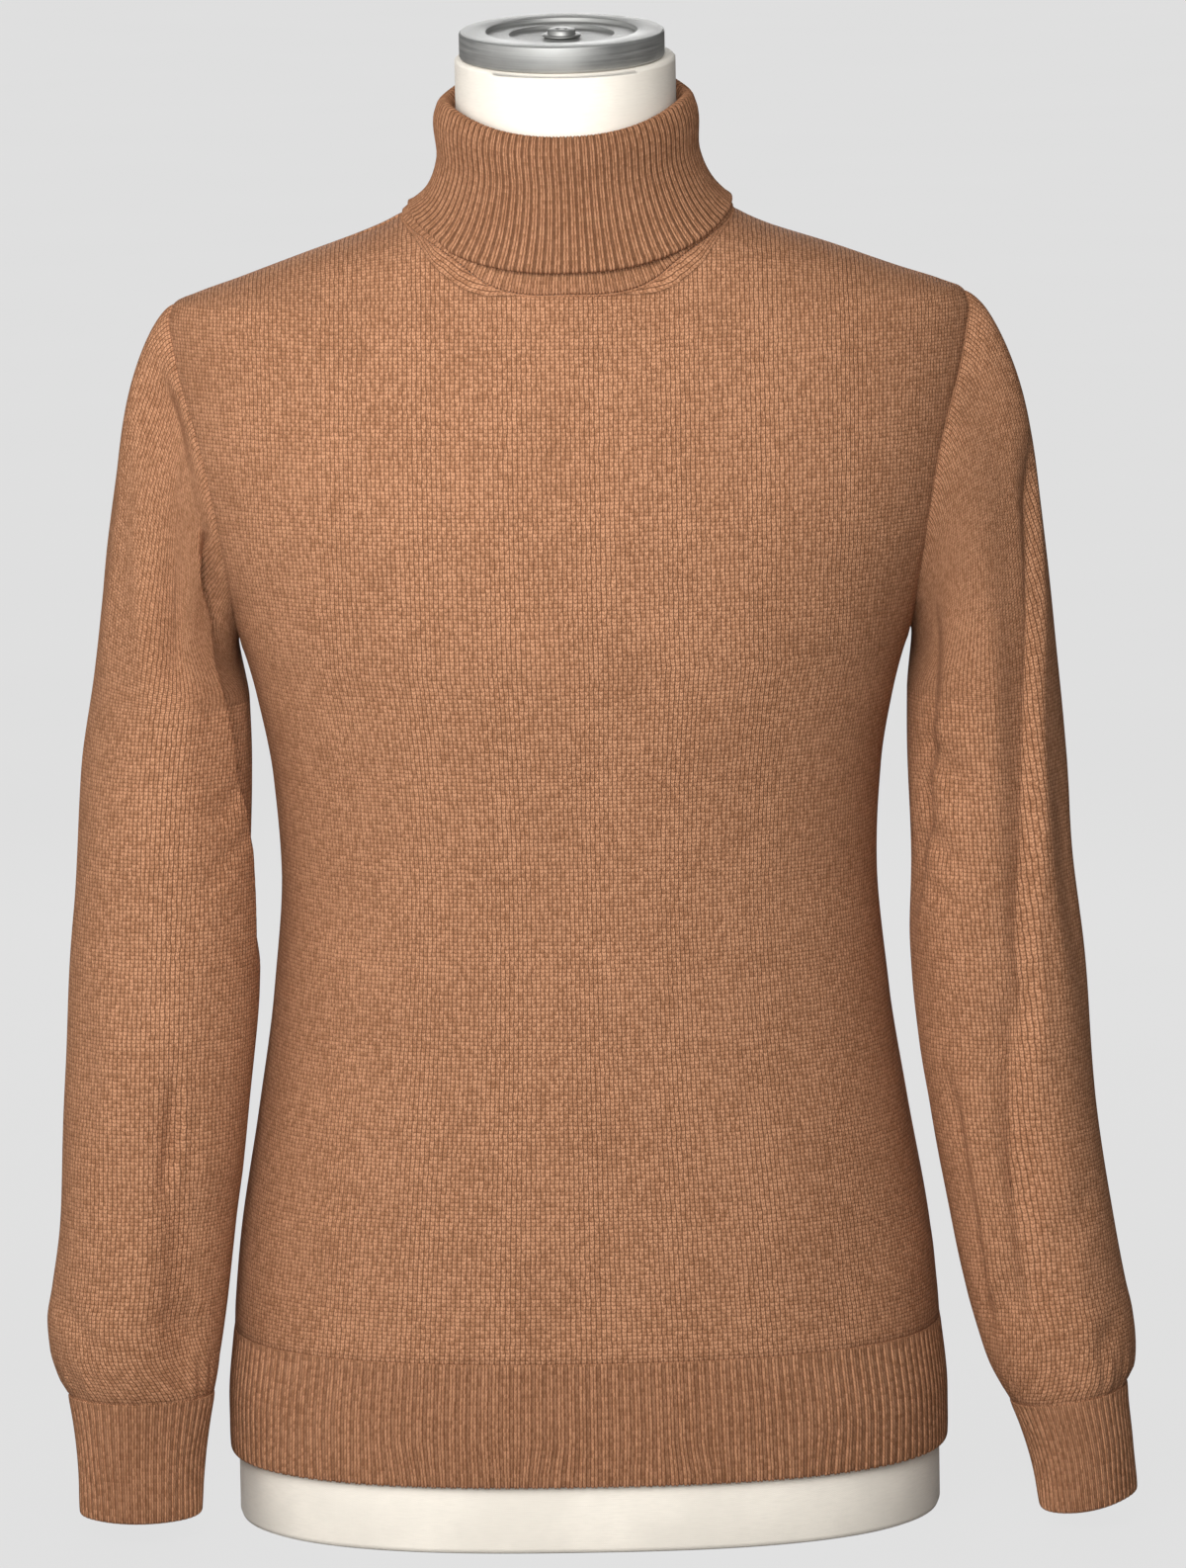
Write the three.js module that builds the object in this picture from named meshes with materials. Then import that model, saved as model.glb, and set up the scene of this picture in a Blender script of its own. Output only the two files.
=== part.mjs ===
// Rib-collared turtleneck sweater worn by a limbless dress form that stands on its flat underside.
// Millimetres, +Z up. The origin is the middle of the form's underside, and the chest faces -Y.
// Left and right are the wearer's: the left sleeve is on the +X side.

import * as THREE from "three";

const WALL = 2.0; // jersey thickness
const RIB_WALL = 2.2; // rib thickness under the grooves
const RIB_RELIEF = 0.9; // how far a rib's ridge stands above its grooves
const SEAM_GAP = 0.3; // space left between two sewn pieces
const FORM_DEPTH = 3.9; // how far the form's surface lies under the knit's outer face

const WELT_EDGE = 36; // height of the welt's lower edge
const WELT_BULGE = 60; // where it is widest
const WELT_TOP = 100; // where the welt's ribs turn into jersey
const UNDERARM = 462; // lowest point of the armhole seam
const SHOULDER_TIP = 637; // its highest point, where it crosses the shoulder
const SLEEVE_LOFT_END = 430; // from here down, the sleeve's sections are level

const WELT_RIBS = 92; // whole ribs across the front, and again across the back
const COLLAR_RIBS = 112;
const CUFF_RIBS = 48;
const COARSE = 4; // rib points for each point of the plain inner face
const COLLAR_COARSE = 8;

const PANEL_COLUMNS = 16;
const PANEL_ROWS = 8; // from the welt to the underarm
const ARMHOLE_ROWS = 12; // from the underarm to the shoulder tip, also half a sleeve ring
const SHOULDER_ROWS = 4; // from the shoulder tip to the neck seam
const LOFT_STEPS = [0, 0.08, 0.18, 0.32, 0.52, 0.75, 1]; // sleeve rings near the shoulder
const FORM_COLUMNS = 2 * PANEL_COLUMNS;

// Outer face of the knit body: half the width, how deep it is in front of and behind
// the side seam, and how square the section is (2 is an ellipse).
const BODY = [
  { z: 36, halfWidth: 188, front: 128, back: 121, square: 2.5 },
  { z: 60, halfWidth: 188.5, front: 128.5, back: 122, square: 2.5 },
  { z: 100, halfWidth: 185, front: 126.5, back: 121, square: 2.45 },
  { z: 147, halfWidth: 180.5, front: 123, back: 117, square: 2.4 },
  { z: 211, halfWidth: 170.5, front: 118, back: 108, square: 2.35 },
  { z: 274, halfWidth: 161, front: 114, back: 101, square: 2.3 },
  { z: 340, halfWidth: 155.5, front: 112.5, back: 98, square: 2.3 },
  { z: 390, halfWidth: 158, front: 115.5, back: 103, square: 2.3 },
  { z: 433, halfWidth: 165.5, front: 120, back: 111, square: 2.3 },
  { z: 478, halfWidth: 179, front: 123.5, back: 119, square: 2.3 },
  { z: 522, halfWidth: 194, front: 122.5, back: 123, square: 2.25 },
  { z: 566, halfWidth: 203, front: 115.5, back: 121, square: 2.15 },
  { z: 607, halfWidth: 208, front: 102.5, back: 112, square: 1.95 },
  { z: 626, halfWidth: 208.6, front: 93.5, back: 102, square: 1.85 },
  { z: 637, halfWidth: 204.5, front: 87, back: 94, square: 1.8 },
  { z: 643, halfWidth: 192, front: 83.5, back: 90, square: 1.8 },
  { z: 650, halfWidth: 171, front: 80, back: 86, square: 1.85 },
  { z: 662, halfWidth: 137.5, front: 76, back: 81, square: 1.95 },
  { z: 678, halfWidth: 92, front: 71, back: 76, square: 2 },
  { z: 690, halfWidth: 74, front: 68, back: 70, square: 2 },
];

// The armhole seam, as a share of the body's half width.
const ARMHOLE = [
  { z: 462, front: 1, back: 1 },
  { z: 474, front: 0.988, back: 0.99 },
  { z: 490, front: 0.967, back: 0.972 },
  { z: 507, front: 0.95, back: 0.958 },
  { z: 525, front: 0.938, back: 0.947 },
  { z: 550, front: 0.935, back: 0.943 },
  { z: 575, front: 0.947, back: 0.95 },
  { z: 600, front: 0.97, back: 0.968 },
  { z: 620, front: 0.985, back: 0.983 },
  { z: 631, front: 0.995, back: 0.994 },
  { z: 637, front: 1, back: 1 },
];

// Seen from above, the neck seam is a squared oval that the body's shoulders rise to.
const NECK_SEAM = { halfWidth: 87, front: 83, back: 77, square: 2.5 };

// The collar's middle line from the turned-down edge, over the fold and down to the neck seam.
// Heights are given at the front, the sides and the back. Ribs are raised on the face that
// shows on the fall, or on the other one, which shows on the stand below it.
const COLLAR = [
  { halfWidth: 86.5, front: 88, back: 82, zFront: 661, zSide: 687.5, zBack: 692, ribs: 1 },
  { halfWidth: 77, front: 81.5, back: 73, zFront: 677, zSide: 697, zBack: 705, ribs: 1 },
  { halfWidth: 68.5, front: 74.5, back: 65, zFront: 700, zSide: 711, zBack: 724, ribs: 1 },
  { halfWidth: 66.5, front: 72, back: 62, zFront: 723, zSide: 729.5, zBack: 743, ribs: 1 },
  { halfWidth: 63.8, front: 69, back: 59, zFront: 727, zSide: 733.5, zBack: 747, ribs: 0 },
  { halfWidth: 60.8, front: 66, back: 56, zFront: 723, zSide: 729.5, zBack: 743, ribs: 0 },
  { halfWidth: 60.2, front: 65.4, back: 55.4, zFront: 710, zSide: 718, zBack: 733, ribs: 0 },
  { halfWidth: 62.8, front: 67.5, back: 60, zFront: 690, zSide: 704, zBack: 712, ribs: 0 },
  { halfWidth: 71, front: 77.5, back: 69.5, zFront: 667, zSide: 693.5, zBack: 697, ribs: -1 },
];
const COLLAR_FOLD = 3; // the row at which the fall turns over
const FALL_LIFT = 1.5; // the turned-down edge sits this much higher on the wearer's left

// The form's neck, above the rows that follow the collar's stand.
const STAND_AIR = 4; // how far those rows lie inside the stand's middle line
const FORM_NECK = [
  { z: 715, halfWidth: 57, front: 61.5, back: 53 },
  { z: 735, halfWidth: 57, front: 62, back: 52 },
  { z: 752, halfWidth: 57, front: 62.5, back: 51.5 },
];
const NECK_TOP = { halfWidth: 57, front: 62.5, back: 51 };
const CAP = { x: -1.5, y: -6, z: 762, tilt: THREE.MathUtils.degToRad(5.3) };

// Half the cap's section, from the middle of its underside to the well round its bolt.
const CAP_PROFILE = [
  { r: 0, z: 0 },
  { r: 51.5, z: 0 },
  { r: 53, z: 1.5 },
  { r: 53, z: 12 },
  { r: 51.5, z: 13.7 },
  { r: 38, z: 13.7 },
  { r: 36.5, z: 11.7 },
  { r: 24.5, z: 11.7 },
  { r: 23.5, z: 10.5 },
  { r: 0, z: 10.5 },
];
const BOLT_PROFILE = [
  { r: 0, z: 0 },
  { r: 10, z: 0 },
  { r: 10, z: 0.9 },
  { r: 7, z: 1.1 },
  { r: 6.8, z: 3.2 },
  { r: 5, z: 4.4 },
  { r: 0, z: 4.9 },
];
const LATHE_SEGMENTS = 28;

// Level sleeve sections, from the end of the loft to the cuff's edge: how far the outer and
// inner sides stand from the middle of the body, where the section's middle is in Y, half its
// depth, and how much it rises towards the outer side.
const RIGHT_SLEEVE = [
  { z: 430, outer: 252.7, inner: 168.4, y: -6, depth: 53, rise: 0 },
  { z: 403, outer: 256.5, inner: 167.2, y: -9, depth: 53, rise: 0 },
  { z: 344, outer: 262.2, inner: 165.5, y: -17, depth: 52, rise: 0 },
  { z: 283, outer: 266.7, inner: 167.2, y: -26, depth: 50, rise: 0 },
  { z: 222, outer: 271.2, inner: 173.8, y: -35, depth: 47, rise: 0 },
  { z: 161, outer: 274.7, inner: 181, y: -44, depth: 44, rise: 0 },
  { z: 130, outer: 277.9, inner: 185.3, y: -48.5, depth: 43, rise: 0 },
  { z: 113, outer: 280.3, inner: 187.7, y: -51, depth: 42, rise: 0 },
  { z: 98, outer: 279.2, inner: 190.1, y: -53, depth: 40, rise: 0 },
  { z: 84, outer: 274.2, inner: 192.8, y: -55, depth: 36, rise: 0 },
  { z: 75, outer: 270.7, inner: 194.5, y: -56, depth: 33.5, rise: 0 },
  { z: 40, outer: 266.6, inner: 200.3, y: -59, depth: 31, rise: 0 },
  { z: 9, outer: 264.6, inner: 202.3, y: -61, depth: 31, rise: 0 },
];
const LEFT_SLEEVE = [
  { z: 430, outer: 251.7, inner: 171.8, y: -6, depth: 53, rise: 0 },
  { z: 397, outer: 253.5, inner: 171.2, y: -9, depth: 53, rise: 0 },
  { z: 335, outer: 258.2, inner: 170.5, y: -17, depth: 53, rise: 0 },
  { z: 274, outer: 263.7, inner: 172.7, y: -26, depth: 51, rise: 0.01 },
  { z: 213, outer: 268.3, inner: 180.3, y: -35, depth: 48, rise: 0.03 },
  { z: 151, outer: 276.8, inner: 191, y: -44, depth: 46, rise: 0.06 },
  { z: 120, outer: 280.5, inner: 198.2, y: -48.5, depth: 44, rise: 0.08 },
  { z: 104, outer: 283.4, inner: 203.1, y: -51, depth: 42.5, rise: 0.1 },
  { z: 89, outer: 284.8, inner: 208, y: -53, depth: 40.5, rise: 0.12 },
  { z: 76, outer: 283.2, inner: 214.9, y: -55, depth: 38.5, rise: 0.14 },
  { z: 68, outer: 280.7, inner: 219.3, y: -56, depth: 37, rise: 0.15 },
  { z: 36, outer: 283.1, inner: 230.1, y: -59, depth: 35.5, rise: 0.16 },
  { z: 8.5, outer: 284, inner: 234.5, y: -61.5, depth: 35.5, rise: 0.17 },
];
const CUFF_ROWS = 3; // the last rows of each table, the first of them the cuff seam

// Long troughs pressed into a sleeve: the angle round the section (0 is the outer side and 90
// the front) where each starts, how far it turns on the way down, where it starts and ends,
// its half width in degrees and how deep it is.
const RIGHT_TROUGHS = [
  { angle: 47, turn: 4, top: 640, bottom: 430, halfWidth: 26, depth: 7 },
  { angle: 128, turn: -6, top: 560, bottom: 330, halfWidth: 24, depth: 5 },
  { angle: 100, turn: 20, top: 240, bottom: 80, halfWidth: 24, depth: 7 },
  { angle: 250, turn: -8, top: 520, bottom: 260, halfWidth: 28, depth: 6 },
  { angle: 300, turn: 10, top: 330, bottom: 90, halfWidth: 26, depth: 6 },
];
const LEFT_TROUGHS = [
  { angle: 62, turn: 5, top: 610, bottom: 190, halfWidth: 22, depth: 11 },
  { angle: 118, turn: 0, top: 590, bottom: 420, halfWidth: 22, depth: 4 },
  { angle: 82, turn: 10, top: 250, bottom: 60, halfWidth: 28, depth: 6 },
  { angle: 145, turn: 20, top: 410, bottom: 320, halfWidth: 24, depth: 5 },
  { angle: 255, turn: 8, top: 540, bottom: 280, halfWidth: 28, depth: 6 },
  { angle: 305, turn: -10, top: 340, bottom: 90, halfWidth: 26, depth: 6 },
];

const JERSEY = { color: 0xb07a4c, roughness: 0.95, metalness: 0 };
const RIB = { color: 0xa8714a, roughness: 0.95, metalness: 0 };
const CANVAS = { color: 0xeee6d6, roughness: 0.9, metalness: 0 };
const STEEL = { color: 0x9a9a98, roughness: 0.35, metalness: 1 };

const { lerp, clamp, smoothstep, radToDeg } = THREE.MathUtils;

// Value of one column of a table at height z, on a smooth curve that never overshoots a row.
function along(table, column, z) {
  const rows = table[0].z < table[table.length - 1].z ? table : [...table].reverse();
  const last = rows.length - 1;
  if (z <= rows[0].z) return rows[0][column];
  if (z >= rows[last].z) return rows[last][column];
  const i = rows.findIndex((row) => row.z > z) - 1;
  const step = (k) => (rows[k + 1][column] - rows[k][column]) / (rows[k + 1].z - rows[k].z);
  const slope = (k) => {
    if (k === 0) return step(0);
    if (k === last) return step(last - 1);
    const [below, above] = [step(k - 1), step(k)];
    return below * above <= 0 ? 0 : (2 * below * above) / (below + above);
  };
  const span = rows[i + 1].z - rows[i].z;
  const t = (z - rows[i].z) / span;
  return (
    (1 + 2 * t) * (1 - t) ** 2 * rows[i][column] +
    t * (1 - t) ** 2 * span * slope(i) +
    t * t * (3 - 2 * t) * rows[i + 1][column] +
    t * t * (t - 1) * span * slope(i + 1)
  );
}

// Point of a squared oval. Angle 0 is the front middle and a quarter turn the +X side.
function oval(angle, { halfWidth, front, back, square = 2 }) {
  const [s, c] = [Math.sin(angle), Math.cos(angle)];
  const reach = (Math.abs(s) ** square + Math.abs(c) ** square) ** (1 / square);
  const depth = c > 0 ? front : back;
  return new THREE.Vector2((halfWidth * s) / reach, (-depth * c) / reach);
}

function sectionAt(z) {
  return {
    halfWidth: along(BODY, "halfWidth", z),
    front: along(BODY, "front", z),
    back: along(BODY, "back", z),
    square: along(BODY, "square", z),
  };
}

function bodyPoint(angle, z) {
  const p = oval(angle, sectionAt(z));
  return new THREE.Vector3(p.x, p.y, z);
}

// Height of the body's shoulders over a point of the plan.
function shoulderHeight(x, y) {
  let low = BODY[0].z;
  let high = BODY[BODY.length - 1].z;
  for (let i = 0; i < 30; i++) {
    const z = (low + high) / 2;
    const { halfWidth, front, back, square } = sectionAt(Math.max(z, 560));
    const depth = y < 0 ? front : back;
    const reach = Math.abs(x / halfWidth) ** square + Math.abs(y / depth) ** square;
    if (reach < 1) low = z;
    else high = z;
  }
  return low;
}

// Corners of the neck seam, one for the end of each panel column.
const NECK_CORNERS = Array.from({ length: 2 * PANEL_COLUMNS }, (_, i) => {
  const p = oval((Math.PI * i) / PANEL_COLUMNS, NECK_SEAM);
  return new THREE.Vector3(p.x, p.y, shoulderHeight(p.x, p.y));
});

// Point of the neck seam, straight from corner to corner.
function neckSeamPoint(angle) {
  const count = NECK_CORNERS.length;
  const share = ((angle / (2 * Math.PI) + 1) % 1) * count;
  const i = Math.floor(share + 1e-9);
  return NECK_CORNERS[i % count].clone().lerp(NECK_CORNERS[(i + 1) % count], share - i);
}

// Half the angle that a panel covers at height z: a quarter turn, less where the armhole is.
function panelReach(side, z) {
  if (z <= UNDERARM || z >= SHOULDER_TIP) return Math.PI / 2;
  const square = along(BODY, "square", z);
  const x = along(ARMHOLE, side, z) ** square;
  return Math.atan((x / (1 - x)) ** (1 / square));
}

// Height on the armhole seam. Angle 0 is the shoulder tip and a half turn the underarm.
const armholeHeight = (angle) => lerp(UNDERARM, SHOULDER_TIP, (1 + Math.cos(angle)) / 2);

// Point of the armhole seam on the +X side, the front half for angles up to a half turn.
function armholePoint(angle) {
  const z = armholeHeight(angle);
  if (Math.sin(angle) > 0) return bodyPoint(panelReach("front", z), z);
  return bodyPoint(Math.PI - panelReach("back", z), z);
}

// Triangles of one closed body. Rows that follow each other are joined point to point,
// and two rows of different counts by their share of the way along.
class Skin {
  points = [];

  triangle(...corners) {
    for (const p of corners) this.points.push(p.x, p.y, p.z);
  }

  join(a, b, closed) {
    const na = closed ? a.length : a.length - 1;
    const nb = closed ? b.length : b.length - 1;
    let i = 0;
    let j = 0;
    while (i < na || j < nb) {
      const from = a[i % a.length];
      const to = b[j % b.length];
      if (j >= nb || (i < na && (i + 1) * nb <= (j + 1) * na)) {
        i += 1;
        this.triangle(from, to, a[i % a.length]);
      } else {
        j += 1;
        this.triangle(from, to, b[j % b.length]);
      }
    }
  }

  fan(ring, first) {
    const middle = ring.reduce((sum, p) => sum.add(p), new THREE.Vector3());
    middle.divideScalar(ring.length);
    ring.forEach((p, i) => {
      const next = ring[(i + 1) % ring.length];
      if (first) this.triangle(middle, p, next);
      else this.triangle(middle, next, p);
    });
  }

  // The geometry, turned so that its faces point out.
  geometry() {
    const p = this.points;
    let volume = 0;
    for (let i = 0; i < p.length; i += 9) {
      const [a, b, c] = [0, 3, 6].map((k) => new THREE.Vector3(...p.slice(i + k, i + k + 3)));
      volume += a.dot(b.cross(c));
    }
    if (volume < 0) {
      for (let i = 0; i < p.length; i += 9) {
        for (let k = 3; k < 6; k++) [p[i + k], p[i + k + 3]] = [p[i + k + 3], p[i + k]];
      }
    }
    const made = new THREE.BufferGeometry();
    made.setAttribute("position", new THREE.Float32BufferAttribute(p, 3));
    made.computeVertexNormals();
    return made;
  }
}

// A wall round a hollow, from rings that run down one face and back up the other.
function tubeWall(rings) {
  const skin = new Skin();
  rings.forEach((ring, i) => skin.join(ring, rings[(i + 1) % rings.length], true));
  return skin.geometry();
}

// A wall with four edges, from rows of its outer and inner faces.
function panelWall(outer, inner) {
  const skin = new Skin();
  const loops = outer.map((row, i) => [...row, ...[...inner[i]].reverse()]);
  for (let i = 0; i + 1 < loops.length; i++) skin.join(loops[i], loops[i + 1], true);
  const last = outer.length - 1;
  skin.join(inner[0], outer[0], false);
  skin.join(outer[last], inner[last], false);
  return skin.geometry();
}

function solidOfRings(rings) {
  const skin = new Skin();
  for (let i = 0; i + 1 < rings.length; i++) skin.join(rings[i], rings[i + 1], true);
  skin.fan(rings[0], true);
  skin.fan(rings[rings.length - 1], false);
  return skin.geometry();
}

const steps = (count) => Array.from({ length: count + 1 }, (_, i) => i / count);

const ringAngles = (count) => Array.from({ length: count }, (_, i) => (2 * Math.PI * i) / count);

// Unit normal of a surface of two values, on the side that faces away from a point.
function normalOf(surface, u, v, away) {
  const tiny = 0.004;
  const across = surface(u + tiny, v).sub(surface(u - tiny, v));
  const up = surface(u, v + tiny).sub(surface(u, v - tiny));
  const normal = across.cross(up).normalize();
  if (normal.dot(surface(u, v).sub(away)) < 0) normal.negate();
  return normal;
}

// The knit body's outer face with no armholes. v is a height up to the shoulder tips, and
// past them SHOULDER_TIP plus the share of the way in to the neck seam.
function bodySurface(angle, v) {
  const low = bodyPoint(angle, Math.min(v, SHOULDER_TIP));
  if (v <= SHOULDER_TIP) return low;
  const plan = low.lerp(neckSeamPoint(angle), v - SHOULDER_TIP);
  return plan.setZ(shoulderHeight(plan.x, plan.y));
}

// The part of it that one panel covers, with u across the panel from -1 to 1.
function panelSurface(side) {
  return (u, v) => {
    const across = u * panelReach(side, Math.min(v, SHOULDER_TIP));
    return bodySurface(side === "front" ? across : Math.PI - across, v);
  };
}

// Keeps a point of a panel on its own side of the side and shoulder seams.
function clearOfSeam(p, side) {
  if (side === "front") p.y = Math.min(p.y, -SEAM_GAP / 2);
  else p.y = Math.max(p.y, SEAM_GAP / 2);
  return p;
}

function panelGeometry(side) {
  const surface = panelSurface(side);
  const levels = steps(PANEL_ROWS).map((t) => lerp(WELT_TOP + SEAM_GAP, UNDERARM, t));
  for (let i = ARMHOLE_ROWS - 1; i >= 0; i--) {
    levels.push(armholeHeight((Math.PI * i) / ARMHOLE_ROWS));
  }
  levels.push(...steps(SHOULDER_ROWS).slice(1).map((t) => SHOULDER_TIP + t));
  const outer = [];
  const inner = [];
  for (const level of levels) {
    const points = steps(PANEL_COLUMNS).map((t) => {
      const u = lerp(-1, 1, t);
      const p = surface(u, level);
      const v = clamp(level, levels[0] + 1, SHOULDER_TIP + 0.98);
      const away = new THREE.Vector3(0, 0, Math.min(p.z - 20, 560));
      const normal = normalOf(surface, clamp(u, -0.98, 0.98), v, away);
      if (level === levels[0]) normal.setZ(0).normalize();
      return [p, p.clone().addScaledVector(normal, -WALL)];
    });
    outer.push(points.map(([p]) => clearOfSeam(p, side)));
    inner.push(points.map(([, q]) => clearOfSeam(q, side)));
  }
  return panelWall(outer, inner);
}

// Angles that divide a stretch of the body's section at height z into equal lengths.
function evenAngles(from, to, count, z) {
  const fine = steps(400).map((t) => lerp(from, to, t));
  const lengths = [0];
  fine.slice(1).forEach((angle, i) => {
    lengths.push(lengths[i] + bodyPoint(angle, z).distanceTo(bodyPoint(fine[i], z)));
  });
  const total = lengths[lengths.length - 1];
  return steps(count).map((t) => {
    if (t === 0) return from;
    if (t === 1) return to;
    const i = lengths.findIndex((length) => length >= t * total);
    const part = (t * total - lengths[i - 1]) / (lengths[i] - lengths[i - 1]);
    return lerp(fine[i - 1], fine[i], part);
  });
}

// The welt below a panel: ribs outside, plain inside.
function weltGeometry(side) {
  const start = side === "front" ? -Math.PI / 2 : Math.PI / 2;
  const angles = evenAngles(start, start + Math.PI, 2 * WELT_RIBS, WELT_TOP);
  const point = (angle, z, inward) => {
    const p = bodyPoint(angle, z);
    const round = bodyPoint(angle + 0.01, z).sub(bodyPoint(angle - 0.01, z)).normalize();
    p.x -= round.y * inward;
    p.y += round.x * inward;
    return clearOfSeam(p, side);
  };
  const levels = [WELT_EDGE, WELT_BULGE, WELT_TOP];
  const outer = levels.map((z) => angles.map((a, i) => point(a, z, i % 2 ? 0 : RIB_RELIEF)));
  const plain = angles.filter((_, i) => i % COARSE === 0);
  const inner = levels.map((z) => plain.map((a) => point(a, z, RIB_WALL + RIB_RELIEF)));
  return panelWall(outer, inner);
}

// Point of a sleeve's outer face on the +X side. Angle 0 is the outer side and a quarter turn
// the front. v runs from 0 at the armhole seam to 1 at the end of the loft, and past that it
// is 1 plus the drop below the loft.
function sleeveSurface(table, troughs) {
  const level = (angle, z) => {
    const at = (column) => along(table, column, z);
    const halfWidth = (at("outer") - at("inner")) / 2;
    const middle = (at("outer") + at("inner")) / 2;
    const x = halfWidth * Math.cos(angle);
    const y = at("y") - at("depth") * Math.sin(angle);
    return new THREE.Vector3(middle + x, y, z + at("rise") * x);
  };
  const loft = (angle, v) => {
    const start = armholePoint(angle);
    start.x += SEAM_GAP;
    const end = level(angle, SLEEVE_LOFT_END);
    const drop = start.z - SLEEVE_LOFT_END;
    const over = lerp(8, 90, (1 + Math.cos(angle)) / 2);
    const leave = new THREE.Vector3(over, -14 * Math.sin(angle), -0.34 * over);
    const arrive = level(angle, SLEEVE_LOFT_END - 1).sub(end).multiplyScalar(drop);
    return start
      .multiplyScalar((1 + 2 * v) * (1 - v) ** 2)
      .addScaledVector(leave, v * (1 - v) ** 2)
      .addScaledVector(end, v * v * (3 - 2 * v))
      .addScaledVector(arrive, v * v * (v - 1));
  };
  return (angle, v) => {
    const p = v <= 1 ? loft(angle, v) : level(angle, SLEEVE_LOFT_END - (v - 1));
    const height = Math.min(p.z, SLEEVE_LOFT_END);
    const middle = (along(table, "outer", height) + along(table, "inner", height)) / 2;
    const inward = new THREE.Vector3(middle - p.x, along(table, "y", height) - p.y, 0);
    inward.normalize();
    for (const trough of troughs) {
      const t = (trough.top - p.z) / (trough.top - trough.bottom);
      if (t <= 0 || t >= 1) continue;
      const centre = trough.angle + trough.turn * t;
      const off = ((radToDeg(angle) - centre + 540) % 360) - 180;
      const across = Math.abs(off) / trough.halfWidth;
      if (across >= 1) continue;
      const fade = Math.sin(Math.PI * t) ** 0.7 * smoothstep(v, 0, 0.35);
      p.addScaledVector(inward, trough.depth * fade * Math.cos((across * Math.PI) / 2) ** 2);
    }
    return p;
  };
}

const mirrored = (ring, sign) => ring.map((p) => new THREE.Vector3(sign * p.x, p.y, p.z));

// Ring of a sleeve's surface, each point moved into the wall by its own depth.
function sleeveRing(surface, angles, v, depthAt) {
  const away = surface(0, v).lerp(surface(Math.PI, v), 0.5);
  return angles.map((angle, i) => {
    const p = surface(angle, v);
    if (v === 0) {
      const centre = new THREE.Vector3(p.x, 0, (UNDERARM + SHOULDER_TIP) / 2);
      return p.addScaledVector(centre.sub(p).normalize(), depthAt(i));
    }
    const normal = normalOf(surface, angle, v, away);
    if (v > 1) normal.setZ(0).normalize();
    return p.addScaledVector(normal, -depthAt(i));
  });
}

function sleeveGeometry(table, troughs, sign) {
  const surface = sleeveSurface(table, troughs);
  const angles = ringAngles(2 * ARMHOLE_ROWS);
  const below = table.slice(1, -CUFF_ROWS + 1).map((row) => 1 + SLEEVE_LOFT_END - row.z);
  const levels = [...LOFT_STEPS, ...below];
  const outer = levels.map((v) => sleeveRing(surface, angles, v, () => 0));
  const inner = levels.map((v) => sleeveRing(surface, angles, v, () => WALL));
  return tubeWall([...outer, ...inner.reverse()].map((ring) => mirrored(ring, sign)));
}

function cuffGeometry(table, troughs, sign) {
  const surface = sleeveSurface(table, troughs);
  const heights = table.slice(-CUFF_ROWS).map((row) => row.z);
  heights[0] -= SEAM_GAP;
  const levels = heights.map((z) => 1 + SLEEVE_LOFT_END - z);
  const angles = ringAngles(2 * CUFF_RIBS);
  const plain = ringAngles((2 * CUFF_RIBS) / COARSE);
  const ribs = (i) => (i % 2 ? 0 : RIB_RELIEF);
  const outer = levels.map((v) => sleeveRing(surface, angles, v, ribs));
  const inner = levels.map((v) => sleeveRing(surface, plain, v, () => RIB_WALL + RIB_RELIEF));
  return tubeWall([...outer, ...inner.reverse()].map((ring) => mirrored(ring, sign)));
}

// Point of the collar's middle line: a row of its table, or the neck seam, at an angle.
function collarPoint(row, angle) {
  if (row === COLLAR.length) {
    const seam = neckSeamPoint(angle);
    const inward = 1 - RIB_WALL / 2 / Math.hypot(seam.x, seam.y);
    return new THREE.Vector3(seam.x * inward, seam.y * inward, seam.z + SEAM_GAP);
  }
  const { zFront, zSide, zBack, halfWidth } = COLLAR[row];
  const p = oval(angle, COLLAR[row]);
  const end = Math.cos(angle) > 0 ? zFront : zBack;
  const z = lerp(zSide, end, Math.cos(angle) ** 2);
  const lift = FALL_LIFT * Math.max(1 - row / COLLAR_FOLD, 0);
  return new THREE.Vector3(p.x, p.y, z + (lift * p.x) / halfWidth);
}

// Ring on one face of the collar: 1 is the face that shows on the fall, -1 the other one.
function collarRing(row, face, ribbed) {
  const count = ribbed ? 2 * COLLAR_RIBS : (2 * COLLAR_RIBS) / COLLAR_COARSE;
  return ringAngles(count).map((angle, i) => {
    const p = collarPoint(row, angle);
    const next = collarPoint(Math.min(row + 1, COLLAR.length), angle);
    const down = next.sub(collarPoint(Math.max(row - 1, 0), angle));
    const round = collarPoint(row, angle + 0.01).sub(collarPoint(row, angle - 0.01));
    const normal = down.cross(round).normalize();
    if (row === COLLAR.length) normal.setZ(0).normalize();
    const relief = ribbed && i % 2 ? RIB_RELIEF : 0;
    return p.addScaledVector(normal, face * (RIB_WALL / 2 + relief));
  });
}

function collarGeometry() {
  const rows = [...COLLAR.map(({ ribs }) => ribs), -1];
  const shown = rows.map((ribs, row) => collarRing(row, 1, ribs === 1));
  const other = rows.map((ribs, row) => collarRing(row, -1, ribs === -1));
  return tubeWall([...shown, ...other.reverse()]);
}

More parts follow.
